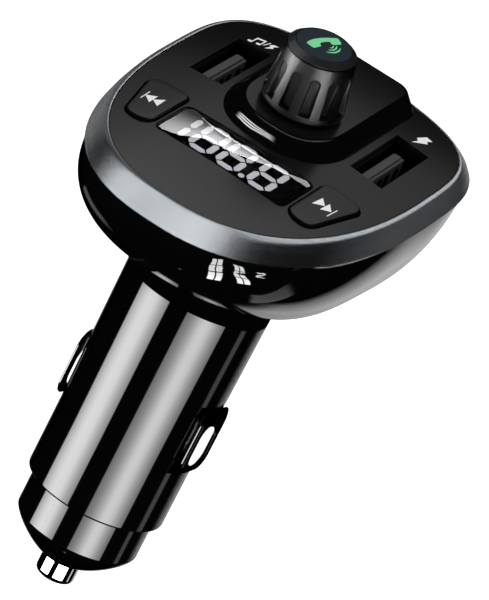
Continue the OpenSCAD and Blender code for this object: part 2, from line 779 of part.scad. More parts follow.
module display_segments() {
    pitch = digit_w + digit_gap;
    color([0.95, 0.96, 0.97]) in_face(digits_side, digits_back - lens_front, block_top) linear_extrude(film_t) {
        for (place = [-pitch, 0, pitch + dot_room]) translate([place, 0]) eight();
        translate([-2 * pitch - one_room, 0]) for (y = [0, 1]) mirror([0, y, 0]) upright_segment();
        translate([(pitch + dot_room) / 2 + dot_side, dot_lift - digit_along]) circle(r = dot_r);
    }
}

module key_button(left) {
    color([0.18, 0.18, 0.175]) in_face() mirrored(left) intersection() {
        union() {
            translate([0, 0, key_low]) linear_extrude(2 * key_rise - key_low) key_shape(key_gap);
            translate([0, 0, key_low]) linear_extrude(key_flange_t) key_shape(-key_flange);
        }
        crown(key_rise);
    }
}

module key_plunger(left) {
    low = ui_top + plunger_lift;
    color([0.75, 0.75, 0.72]) in_face() mirrored(left) translate([key_middle[0], key_middle[1], low])
        cylinder(r = plunger_r, h = key_low - low);
}

module key_switch(left) {
    top = key_low - key_travel - switch_gap;
    color([0.7, 0.7, 0.7]) in_face() mirrored(left) difference() {
        translate([key_middle[0], key_middle[1], (ui_top + top) / 2])
            cube([switch_size, switch_size, top - ui_top], center = true);
        translate([key_middle[0], key_middle[1], ui_top + switch_floor])
            cylinder(r = plunger_r + run_gap, h = top - ui_top);
    }
}

// Ports

module usb_shell(left) {
    w = port_w - 2 * seat_gap;
    l = port_l - 2 * seat_gap;
    high = -port_sunk;
    side = left ? -1 : 1;
    color([0.55, 0.55, 0.56]) in_face(side * port_at, port_back, power_top) difference() {
        linear_extrude(high - power_top) square([w, l], center = true);
        translate([0, 0, -cut]) linear_extrude(high - power_top + 2 * cut)
            square([w - 2 * port_sheet, l - 2 * port_sheet], center = true);
    }
}

module usb_tongue(left) {
    room = port_sheet + 2 * seat_gap;
    side = left ? -1 : 1;
    stem = tongue_top - tongue_bevel - power_top - tongue_foot_h;
    color([0.3, 0.3, 0.3]) in_face(side * port_at, port_back, power_top) {
        linear_extrude(tongue_foot_h) square([port_w - 2 * room, port_l - 2 * room], center = true);
        translate([tongue_off, 0, tongue_foot_h]) {
            linear_extrude(stem) square([tongue_t, tongue_l], center = true);
            translate([0, 0, stem]) linear_extrude(tongue_bevel)
                square([tongue_t - 2 * tongue_bevel, tongue_l - 2 * tongue_bevel], center = true);
        }
    }
}

module usb_contacts(left) {
    side = left ? -1 : 1;
    low = tongue_top - strip_low - strip_l;
    color([0.85, 0.7, 0.35]) in_face(side * port_at + tongue_off + tongue_t / 2, port_back, low)
        for (share = strip_shares)
            translate([0, share * tongue_l - strip_w / 2, 0]) cube([strip_t, strip_w, strip_l]);
}

// Boards in the head

module ui_board() {
    color([0.06, 0.25, 0.14]) in_face() difference() {
        translate([0, 0, ui_bottom]) linear_extrude(board_t)
            polygon(round_outline(face_half - board_margin, face_front - board_margin, face_rear - board_margin));
        port_cut(port_w + 2 * board_port_gap, port_l + 2 * board_port_gap, ui_bottom - cut, ui_top + cut);
        at_screws(ui_bottom - cut) cylinder(r = screw_r + screw_board_gap, h = board_t + 2 * cut);
    }
}

module power_board() {
    color([0.06, 0.22, 0.14]) in_face() translate([-power_half, -power_front, power_bottom])
        cube([2 * power_half, power_front + power_rear, board_t]);
}

module board_header() {
    color([0.08, 0.08, 0.08]) in_face() translate([-header_w / 2, power_rear - header_l - header_margin, power_top])
        cube([header_w, header_l, ui_bottom - power_top]);
}

module link_header() {
    front = (converter_face + link_gap + power_bottom * sin(face_tilt)) / cos(face_tilt);
    color([0.09, 0.09, 0.09]) {
        in_face(-link_w / 2, front, power_bottom - link_h) cube([link_w, header_l, link_h]);
        for (share = link_pin_shares)
            translate([share * link_w - link_pin_w / 2, converter_face, converter_high - link_pin_drop])
                cube([link_pin_w, link_pin_l, link_pin_w]);
    }
}

module radio_module() {
    color([0.68, 0.69, 0.7]) in_face(-radio_w / 2, -lens_front - radio_l / 2, ui_bottom - radio_h)
        cube([radio_w, radio_l, radio_h]);
}

module microphone() {
    color([0.72, 0.72, 0.7]) in_face(mic_side, -screw_front_at, ui_top) cylinder(r = mic_r, h = mic_h);
}

module plate_screw(u, v) {
    color([0.7, 0.7, 0.72]) in_face(u, v, ui_bottom) {
        translate([0, 0, -screw_head_t]) cylinder(r = screw_head_r, h = screw_head_t);
        cylinder(r = screw_r, h = screw_reach);
    }
}

// Knob and encoder

module encoder_body() {
    color([0.62, 0.63, 0.64]) in_face(0, knob_at) difference() {
        union() {
            translate([-encoder_w / 2, -encoder_l / 2, ui_top]) cube([encoder_w, encoder_l, encoder_top - ui_top]);
            translate([0, 0, encoder_top]) cylinder(r = bushing_r, h = bushing_top - encoder_top);
        }
        translate([0, 0, rotor_z - run_gap]) cylinder(r = rotor_r + run_gap, h = rotor_t + 2 * run_gap);
        translate([0, 0, rotor_z]) cylinder(r = hub_r + run_gap, h = bushing_top - rotor_z + cut);
    }
}

module encoder_rotor() {
    color([0.2, 0.2, 0.2]) in_face(0, knob_at, rotor_z) difference() {
        union() {
            cylinder(r = rotor_r, h = rotor_t);
            cylinder(r = hub_r, h = bushing_top - rotor_z);
        }
        translate([0, 0, -cut]) cylinder(r = hub_bore_r, h = bushing_top - rotor_z + 2 * cut);
    }
}

module encoder_shaft() {
    low = rotor_z + press_travel + shaft_foot_gap;
    shoulder = bushing_top + press_travel + shaft_gap;
    color([0.75, 0.75, 0.77]) in_face(0, knob_at) difference() {
        union() {
            translate([0, 0, low]) cylinder(r = hub_bore_r - run_gap, h = (shoulder + shaft_top) / 2 - low);
            translate([0, 0, shoulder]) cylinder(r = shaft_r, h = shaft_top - shoulder);
        }
        translate([shaft_flat, -shaft_r, shaft_top - shaft_flat_l]) cube([shaft_r, 2 * shaft_r, shaft_flat_l + cut]);
    }
}

// A flute's floor is upright, so the flute deepens downwards; its foot is square and its head round
module knob() {
    lean = (knob_foot_r - knob_top_r) / (cap_seam - knob_foot);
    flute_l = cap_seam - flute_top_gap - knob_foot - flute_foot_gap;
    flute_floor = knob_top_r + flute_top_gap * lean - flute_d;
    color([0.07, 0.07, 0.075]) in_face(0, knob_at) difference() {
        rotate_extrude($fn = fine_fn) polygon([
            [0, knob_foot], [knob_foot_r - knob_edge, knob_foot], [knob_foot_r, knob_foot + knob_edge],
            [knob_top_r, cap_seam - knob_edge / 2], [knob_top_r - knob_edge / 2, cap_seam], [0, cap_seam]]);
        difference() {
            translate([0, 0, knob_foot - cut])
                cylinder(r = shaft_r + shaft_fit, h = shaft_top - knob_foot + cut + seat_gap);
            translate([shaft_flat + shaft_fit, -shaft_r - cut, shaft_top - shaft_flat_l + shaft_fit])
                cube([shaft_r + cut, 2 * (shaft_r + cut), shaft_flat_l + cut]);
        }
        translate([0, 0, cap_seam - cap_spigot_l - seat_gap])
            cylinder(r = cap_spigot_r + cap_gap, h = cap_spigot_l + seat_gap + cut);
        for (i = [0:flutes - 1]) rotate(360 * i / flutes - 90)
            translate([flute_floor, 0, knob_foot + flute_foot_gap]) rotate([90, 0, 90])
                linear_extrude(knob_foot_r - flute_floor + cut) {
                    translate([0, flute_l / 2]) rounded_rect(flute_w, flute_l, (flute_w - end_fit) / 2);
                    translate([0, flute_l / 4]) rounded_rect(flute_w, flute_l / 2, flute_corner);
                }
    }
}

module knob_cap() {
    color([0.13, 0.16, 0.17]) in_face(0, knob_at) {
        translate([0, 0, cap_seam + cap_gap])
            cylinder(r1 = knob_top_r, r2 = disc_r, h = cap_h - cap_gap, $fn = fine_fn);
        translate([0, 0, cap_seam - cap_spigot_l]) cylinder(r = cap_spigot_r, h = cap_spigot_l + cap_h / 3);
    }
}

// Boards in the barrel

module converter_board() {
    color([0.06, 0.22, 0.14]) translate([-converter_half, -converter_y, converter_low])
        cube([2 * converter_half, board_t, converter_l]);
}

module inductor() {
    color([0.15, 0.15, 0.16]) translate([0, converter_face, converter_low + inductor_at_share * converter_l])
        rotate([-90, 0, 0]) cylinder(r = inductor_r, h = inductor_h);
}

module capacitor() {
    color([0.16, 0.2, 0.4])
        translate([0, converter_face + can_r, converter_low + can_at_share * converter_l])
            cylinder(r = can_r, h = can_length_share * converter_l);
}

module regulator() {
    color([0.08, 0.08, 0.08])
        translate([-chip_half, -converter_y - chip_t, converter_low + chip_at_share * converter_l])
            cube([2 * chip_half, chip_t, chip_length_share * converter_l]);
}

plug_sleeve();
nose_collar();
barrel_core();
spring_contact();
tip_spring();
tip_pin();
fuse_tube();
fuse_caps();
side_clip(true);  // side_clip_left
side_clip(false);  // side_clip_right
ground_strap(true);  // ground_strap_left
ground_strap(false);  // ground_strap_right
neck_tube();
lower_shell();
bezel_ring();
face_plate();
knob_plinth();
plinth_pad();
display_lens();
display_block();
display_segments();
key_button(true);  // prev_button
key_button(false);  // next_button
key_plunger(true);  // prev_plunger
key_plunger(false);  // next_plunger
key_switch(true);  // prev_switch
key_switch(false);  // next_switch
usb_shell(true);  // usb_shell_left
usb_shell(false);  // usb_shell_right
usb_tongue(true);  // usb_tongue_left
usb_tongue(false);  // usb_tongue_right
usb_contacts(true);  // usb_contacts_left
usb_contacts(false);  // usb_contacts_right
ui_board();
power_board();
board_header();
link_header();
radio_module();
microphone();
encoder_body();
encoder_rotor();
encoder_shaft();
knob();
knob_cap();
converter_board();
inductor();
capacitor();
regulator();
plate_screw(-screw_side_at[0], screw_side_at[1]);  // screw_left
plate_screw(screw_side_at[0], screw_side_at[1]);  // screw_right
plate_screw(0, -screw_front_at);  // screw_front
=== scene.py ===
"""Looks of a car FM transmitter: a black plug barrel with a tilted head, a knob and a display.

All lengths in the classes are millimetres. The part's frame has its origin on the plug's axis
at the lower edge of the straight barrel wall, +Z up to the head, +X to the right of the face
and +Y to the back. The face frame (u, v, w) starts where the plug's axis meets the face: u is
+X, v runs up the leaning face and w leaves it.
"""

from __future__ import annotations

import json
import logging
import math
from dataclasses import dataclass, field
from enum import Enum
from typing import Any, Callable, Sequence

import bmesh
import bpy
import numpy as np
from mathutils import Euler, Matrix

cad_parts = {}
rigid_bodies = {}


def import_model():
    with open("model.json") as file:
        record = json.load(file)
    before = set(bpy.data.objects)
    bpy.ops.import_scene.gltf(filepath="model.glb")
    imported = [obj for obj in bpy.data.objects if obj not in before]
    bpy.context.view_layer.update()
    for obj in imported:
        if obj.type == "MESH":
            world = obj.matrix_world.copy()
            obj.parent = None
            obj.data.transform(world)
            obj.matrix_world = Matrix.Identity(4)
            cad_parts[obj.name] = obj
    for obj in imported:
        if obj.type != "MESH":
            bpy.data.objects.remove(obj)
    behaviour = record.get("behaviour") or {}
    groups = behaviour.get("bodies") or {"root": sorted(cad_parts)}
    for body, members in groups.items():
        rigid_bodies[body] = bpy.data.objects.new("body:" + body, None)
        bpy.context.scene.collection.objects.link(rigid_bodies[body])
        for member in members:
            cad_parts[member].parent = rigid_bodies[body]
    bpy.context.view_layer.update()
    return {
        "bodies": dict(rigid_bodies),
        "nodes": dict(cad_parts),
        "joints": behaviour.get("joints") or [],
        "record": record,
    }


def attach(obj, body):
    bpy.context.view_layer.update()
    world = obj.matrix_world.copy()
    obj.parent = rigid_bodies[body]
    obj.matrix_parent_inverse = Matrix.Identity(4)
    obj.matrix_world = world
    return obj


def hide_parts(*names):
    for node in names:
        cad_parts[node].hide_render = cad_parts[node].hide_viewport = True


Array = np.ndarray
Piece = bpy.types.Object
Point = tuple[float, float, float]
Flat = tuple[float, float]
Outline = tuple[Flat, ...]
LOG = logging.getLogger("transmitter")
MM = 0.001
FACE_TILT = math.radians(16.1)
FACE_HEIGHT = 59.35
CROWN_RADIUS = 166.0
WIDEST_AT = 5.5
FRONT_ROUND = 2.3
REAR_ROUND = 3.8
KNOB_AT = 3.77


# Shapes


def turn_from_face(ways: Array) -> Array:
    """Turns face-frame directions into the part's frame: v and w about X by the face's lean."""
    u, v, w = ways[..., 0], ways[..., 1], ways[..., 2]
    lean, rise = math.cos(FACE_TILT), math.sin(FACE_TILT)
    return np.stack([u, v * lean - w * rise, v * rise + w * lean], axis=-1)


def from_face(points: Array) -> Array:
    """Carries face-frame points (u, v, w) into the part's frame: turned, then lifted."""
    return turn_from_face(points) + np.array([0.0, 0.0, FACE_HEIGHT])


def crown_drop(u: Array) -> Array:
    """Fall of the crowned face at a distance u from its middle: R minus the root of R2 - u2."""
    return CROWN_RADIUS - np.sqrt(CROWN_RADIUS**2 - u**2)


def side_power(value: Array, power: float | Array) -> Array:
    """Raises the size of a value to a power and keeps its sign."""
    return np.sign(value) * np.abs(value) ** power


def soft_step(value: Array, low: float, high: float) -> Array:
    """Rises from 0 at low to 1 at high along 3t2 - 2t3."""
    t = np.clip((value - low) / (high - low), 0.0, 1.0)
    return t * t * (3 - 2 * t)


def face_outline(
    half: float, front: float, rear: float, rear_round: float = REAR_ROUND, count: int = 240
) -> Array:
    """Outline of the face: two superellipse halves that meet where it is widest.

    Args:
        half: Half of the width.
        front: Reach to the front of the plug's axis.
        rear: Reach to the rear.
        rear_round: Exponent of the rear half; the front half's is FRONT_ROUND.
        count: Number of points.

    Returns:
        Points (u, v), counter-clockwise. u = half cos(a) and v = WIDEST_AT + reach sin(a), with
        the size of each sine and cosine raised to 2/n.
    """
    a = np.arange(count) * 2 * np.pi / count
    ahead = np.sin(a) < 0
    power = np.where(ahead, 2 / FRONT_ROUND, 2 / rear_round)
    reach = np.where(ahead, front + WIDEST_AT, rear - WIDEST_AT)
    u, v = side_power(np.cos(a), power), side_power(np.sin(a), power)
    return np.stack([half * u, WIDEST_AT + reach * v], -1)


def rounded_rectangle(width: float, length: float, radius: float, steps: int = 10) -> Array:
    """Outline of a rectangle with round corners, counter-clockwise from its right side."""
    a = np.linspace(0, np.pi / 2, steps)
    corners = []
    for turn, (sx, sy) in enumerate(((1, 1), (-1, 1), (-1, -1), (1, -1))):
        middle = np.array([sx * (width / 2 - radius), sy * (length / 2 - radius)])
        angle = a + turn * np.pi / 2
        corners.append(middle + radius * np.stack([np.cos(angle), np.sin(angle)], -1))
    return np.concatenate(corners)


def outline_of_circles(circles: Sequence[Point], grow: float, count: int = 96) -> Array:
    """Outline round a set of circles, as a tight band would lie.

    Args:
        circles: Middles and radii (u, v, r).
        grow: Length added to each radius.
        count: Number of directions.

    Returns:
        For each direction, the point of the circle that reaches furthest that way.
    """
    a = np.arange(count) * 2 * np.pi / count
    way = np.stack([np.cos(a), np.sin(a)], -1)
    table = np.array(circles)
    best = np.argmax(way @ table[:, :2].T + table[:, 2], axis=1)
    return table[best, :2] + (table[best, 2:3] + grow) * way


def on_face(outline: Array, level: float | Array, crowned: float = 1.0) -> Array:
    """Puts a flat outline at a level over the face, following its crown by a share of 0 to 1."""
    w = level - crowned * crown_drop(outline[..., 0])
    return np.concatenate([outline, np.broadcast_to(w, outline.shape[:-1])[..., None]], -1)


def turned(profile: Sequence[Flat], count: int = 192) -> Array:
    """Turns a profile (r, z) about Z into a grid of rings: x = r cos(a), y = r sin(a), z."""
    p = np.array(profile)
    a = np.arange(count) * 2 * np.pi / count
    r, z = p[:, :1], p[:, 1:]
    return np.stack([r * np.cos(a), r * np.sin(a), np.broadcast_to(z, (len(p), count))], -1)


def fillet(corners: Sequence[Point], steps: int = 5) -> list[Flat]:
    """Rounds the corners of an open polyline; a round takes less than half of each side.

    Args:
        corners: Points (a, b, radius); the first and last stay sharp.
        steps: Points on each rounded corner.

    Returns:
        The polyline with a quadratic curve in place of each rounded corner.
    """
    most = 0.49
    out: list[Flat] = [corners[0][:2]]
    for before, at, after in zip(corners, corners[1:], corners[2:]):
        p, q, s = np.array(before[:2]), np.array(at[:2]), np.array(after[:2])
        start = q + (p - q) / np.linalg.norm(p - q) * min(at[2], most * np.linalg.norm(p - q))
        end = q + (s - q) / np.linalg.norm(s - q) * min(at[2], most * np.linalg.norm(s - q))
        for t in np.linspace(0, 1, steps if at[2] > 0 else 1):
            out.append(tuple((1 - t) ** 2 * start + 2 * t * (1 - t) * q + t * t * end))
    out.append(corners[-1][:2])
    return out


def band_faces(rows: int, columns: int, close_rows: bool = False, close_columns: bool = True) -> Array:
    """Quads of a grid.

    Args:
        rows: Number of rows.
        columns: Number of columns.
        close_rows: Whether the last row joins the first.
        close_columns: Whether the last column joins the first.

    Returns:
        Array of vertex numbers, four to a quad.
    """
    r = np.arange(rows if close_rows else rows - 1)[:, None]
    c = np.arange(columns if close_columns else columns - 1)[None, :]
    s, d = (r + 1) % rows, (c + 1) % columns
    quads = np.stack([r * columns + c, r * columns + d, s * columns + d, s * columns + c], -1)
    return quads.reshape(-1, 4)


def walled_sheet(outer: Array, inner: Array, keep: Array) -> tuple[Array, Array]:
    """A wall between two grids, with cells left out where it has windows.

    Args:
        outer: Grid of outer points, whose columns close on themselves.
        inner: Grid of inner points of the same shape.
        keep: True for each cell that stays, shape (rows - 1, columns).

    Returns:
        Points and quads: both faces, and a wall along each edge between a kept cell and none.
    """
    rows, columns = outer.shape[:2]
    flat = np.arange(rows * columns).reshape(rows, columns)
    nxt = np.roll(flat, -1, axis=1)
    front = np.stack([flat[:-1], nxt[:-1], nxt[1:], flat[1:]], -1)[keep]
    back = front[:, ::-1] + rows * columns
    padded = np.vstack([np.zeros((1, columns), bool), keep, np.zeros((1, columns), bool)])
    across = padded[1:] != padded[:-1]
    along = keep != np.roll(keep, 1, axis=1)
    level = np.stack([flat[across], nxt[across]], -1)
    upright = np.stack([flat[:-1][along], flat[1:][along]], -1)
    edges = np.concatenate([level, upright])
    walls = np.concatenate([edges, edges[:, ::-1] + rows * columns], 1)
    points = np.concatenate([outer.reshape(-1, 3), inner.reshape(-1, 3)])
    return points, np.concatenate([front, back, walls])


# Pieces


def make_piece(
    name: str, points: Array, faces: Sequence[Sequence[int]] | Array, sharp: float = 32.0
) -> Piece:
    """Makes a mesh object from points in millimetres of the part's frame.

    Args:
        name: Name of the piece.
        points: Array of (x, y, z).
        faces: Vertex numbers of each face.
        sharp: Angle in degrees above which an edge stays sharp.

    Returns:
        The object, at the origin, with its doubles merged and its faces pointing outwards.
    """
    mesh = bpy.data.meshes.new(name)
    mesh.from_pydata((points.reshape(-1, 3) * MM).tolist(), [], [list(map(int, f)) for f in faces])
    tidy = bmesh.new()
    tidy.from_mesh(mesh)
    bmesh.ops.remove_doubles(tidy, verts=tidy.verts, dist=2e-6)
    bmesh.ops.dissolve_degenerate(tidy, edges=tidy.edges, dist=1e-6)
    bmesh.ops.recalc_face_normals(tidy, faces=tidy.faces)
    tidy.to_mesh(mesh)
    tidy.free()
    mesh.shade_smooth()
    mesh.set_sharp_from_angle(angle=math.radians(sharp))
    piece = bpy.data.objects.new(name, mesh)
    bpy.context.scene.collection.objects.link(piece)
    return piece


def lofted(name: str, rings: Array, capped: bool, sharp: float = 32.0) -> Piece:
    """Makes a piece from a grid of rings.

    Args:
        name: Name of the piece.
        rings: Grid (rings, points, 3) in the part's frame.
        capped: Closes the first and the last ring with a fan to its middle, in place of
            joining the last ring to the first.
        sharp: Angle in degrees above which an edge stays sharp.

    Returns:
        The finished object.
    """
    rows, columns = rings.shape[:2]
    points = rings.reshape(-1, 3)
    faces = band_faces(rows, columns, not capped).tolist()
    c = np.arange(columns)
    for row in (0, rows - 1) if capped else ():
        middle = np.full(columns, len(points))
        points = np.vstack([points, rings[row].mean(axis=0)])
        faces += np.stack([row * columns + c, row * columns + (c + 1) % columns, middle], -1).tolist()
    return make_piece(name, points, faces, sharp)


def printed(
    name: str, outlines: Sequence[Array], level: Callable[[Array], Array], ink: float = 0.02
) -> Piece:
    """Makes a thin layer of ink or a thin inlay from flat outlines.

    Args:
        name: Name of the piece.
        outlines: Closed outlines (u, v) in the face frame.
        level: Gives the level w of the surface under each point.
        ink: Thickness of the layer.

    Returns:
        One object with a closed slab for each outline.
    """
    points: list[Array] = []
    faces: list[list[int]] = []
    start = 0
    for outline in outlines:
        n = len(outline)
        base = level(outline)
        for lift in (0.0, ink):
            points.append(from_face(np.concatenate([outline, (base + lift)[:, None]], 1)))
        low, high = np.arange(start, start + n), np.arange(start + n, start + 2 * n)
        faces += [low[::-1].tolist(), high.tolist()]
        faces += np.stack([low, np.roll(low, -1), np.roll(high, -1), high], 1).tolist()
        start += 2 * n
    return make_piece(name, np.concatenate(points), faces, 20.0)


def place(
    piece: Piece, body: str, finish: "Finishes", stands_for: Sequence[str] = ()
) -> Piece:
    """Dresses a piece, lets it ride on a body and hides the CAD nodes that it stands for.

    Args:
        piece: The piece.
        body: Body that carries it.
        finish: Its finish.
        stands_for: CAD nodes that it replaces.

    Returns:
        The same piece.
    """
    piece.data.materials.clear()
    piece.data.materials.append(finish.value.material())
    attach(piece, body)
    if stands_for:
        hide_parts(*stands_for)
    LOG.info("piece %s on %s: %d faces", piece.name, body, len(piece.data.polygons))
    return piece


def dress(node: str, finish: "Finishes") -> None:
    """Gives a CAD node its material."""
    target = FRAME["nodes"][node]
    target.data.materials.clear()
    target.data.materials.append(finish.value.material())
    LOG.info("node %s: %s", node, finish.value.name)


# Finishes


def linear(colour: str) -> tuple[float, float, float, float]:
    """Turns an sRGB hex value such as "3a3a38" into linear red, green, blue and alpha."""
    parts = [int(colour[i : i + 2], 16) / 255 for i in (0, 2, 4)]
    r, g, b = (p / 12.92 if p <= 0.04045 else ((p + 0.055) / 1.055) ** 2.4 for p in parts)
    return (r, g, b, 1.0)


def add(
    tree: bpy.types.NodeTree, kind: str, settings: dict[Any, Any] | None = None, **links: Any
) -> bpy.types.Node:
    """Adds a shader node.

    Args:
        tree: Node tree to add to.
        kind: Blender's type name, such as "ShaderNodeTexNoise".
        settings: Node properties, and values of inputs by name or number.
        links: Sockets to link to inputs. A space in an input's name is written as two
            underscores, and input number 2 as i2.

    Returns:
        The new node.
    """
    node = tree.nodes.new(kind)
    for key, value in (settings or {}).items():
        if isinstance(key, int) or key in node.inputs:
            node.inputs[key].default_value = value
        else:
            setattr(node, key, value)
    for key, socket in links.items():
        numbered = key[0] == "i" and key[1:].isdigit()
        tree.links.new(socket, node.inputs[int(key[1:]) if numbered else key.replace("__", " ")])
    return node


def fresh(name: str) -> tuple[bpy.types.Material, bpy.types.NodeTree, bpy.types.Node]:
    """Makes an empty node material; returns it, its tree and its output node."""
    material = bpy.data.materials.new(name)
    material.use_nodes = True
    tree = material.node_tree
    tree.nodes.clear()
    return material, tree, tree.nodes.new("ShaderNodeOutputMaterial")


@dataclass(frozen=True)
class Finish:
    """A finish: its base colour, how it shines and the fine relief that its making leaves.

    Attributes:
        name: Common name of the real material.
        colour: Base colour as an sRGB hex value.
        second: Second colour, into which the base drifts in soft patches.
        metallic: 1 for bare metal.
        roughness: Roughness of the surface.
        spread: How far the roughness drifts over the surface.
        grain: Width of the relief's grain in millimetres.
        relief: Height of the relief in millimetres.
        drift: Width of the soft patches in millimetres.
        coat: Weight of a clear gloss layer.
        stretch: How far the grain is drawn out along Z, as brushing does.
        ior: Index of refraction of a plastic.
        specular: Specular level of a plastic.
    """

    name: str
    colour: str
    second: str
    metallic: float = 0.0
    roughness: float = 0.5
    spread: float = 0.05
    grain: float = 0.3
    relief: float = 0.002
    drift: float = 12.0
    coat: float = 0.0
    stretch: float = 1.0
    ior: float = 1.5
    specular: float = 0.5

    def material(self) -> bpy.types.Material:
        """Builds the material, or returns the one already built under its name."""
        if self.name in bpy.data.materials:
            return bpy.data.materials[self.name]
        material, tree, out = fresh(self.name)
        here = add(tree, "ShaderNodeTexCoord").outputs["Object"]
        along = {"Scale": (1.0, 1.0, 1.0 / self.stretch)}
        drawn = add(tree, "ShaderNodeMapping", along, Vector=here).outputs[0]
        fine = {"Scale": 1 / (self.grain * MM), "Detail": 3.0}
        grain = add(tree, "ShaderNodeTexNoise", fine, Vector=drawn)
        soft = {"Scale": 1 / (self.drift * MM), "Detail": 2.0}
        patch = add(tree, "ShaderNodeTexNoise", soft, Vector=here)
        colours = {"data_type": "RGBA", 6: linear(self.colour), 7: linear(self.second)}
        mixed = add(tree, "ShaderNodeMix", colours, Factor=patch.outputs["Fac"])
        least = max(0.0, self.roughness - self.spread)
        limits = {"To Min": least, "To Max": self.roughness + self.spread}
        rough = add(tree, "ShaderNodeMapRange", limits, Value=grain.outputs["Fac"])
        bump = add(tree, "ShaderNodeBump", {"Distance": self.relief * MM}, Height=grain.outputs["Fac"])
        shader = add(
            tree,
            "ShaderNodeBsdfPrincipled",
            {"Metallic": self.metallic, "Coat Weight": self.coat, "Coat Roughness": 0.03},
            Base__Color=mixed.outputs[2],
            Roughness=rough.outputs["Result"],
            Normal=bump.outputs["Normal"],
        )
        if not self.metallic:
            shader.inputs["IOR"].default_value = self.ior
            shader.inputs["Specular IOR Level"].default_value = self.specular
        tree.links.new(shader.outputs[0], out.inputs["Surface"])
        return material


@dataclass(frozen=True)
class LitInk(Finish):
    """Ink or a segment with a light behind it: a plastic that also glows."""

    glow: float = 0.5

    def material(self) -> bpy.types.Material:
        """Adds the glow to the plain finish, in its own colour."""
        if self.name in bpy.data.materials:
            return bpy.data.materials[self.name]
        material = super().material()
        shader = next(n for n in material.node_tree.nodes if n.type == "BSDF_PRINCIPLED")
        shader.inputs["Emission Color"].default_value = linear(self.colour)
        shader.inputs["Emission Strength"].default_value = self.glow
        return material


@dataclass(frozen=True)
class ClearPlastic(Finish):
    """Clear or smoked plastic or glass, polished on both faces."""

    def material(self) -> bpy.types.Material:
        """Builds the clear material with its tint and a faint haze."""
        if self.name in bpy.data.materials:
            return bpy.data.materials[self.name]
        material, tree, out = fresh(self.name)
        here = add(tree, "ShaderNodeTexCoord").outputs["Object"]
        soft = {"Scale": 1 / (self.drift * MM), "Detail": 2.0}
        haze = add(tree, "ShaderNodeTexNoise", soft, Vector=here)
        rough = add(tree, "ShaderNodeMapRange", {"To Max": self.roughness}, Value=haze.outputs["Fac"])
        colours = {"data_type": "RGBA", 6: linear(self.colour), 7: linear(self.second)}
        tint = add(tree, "ShaderNodeMix", colours, Factor=haze.outputs["Fac"])
        shader = add(
            tree,
            "ShaderNodeBsdfPrincipled",
            {"IOR": self.ior, "Transmission Weight": 1.0},
            Base__Color=tint.outputs[2],
            Roughness=rough.outputs["Result"],
        )
        tree.links.new(shader.outputs[0], out.inputs["Surface"])
        return material


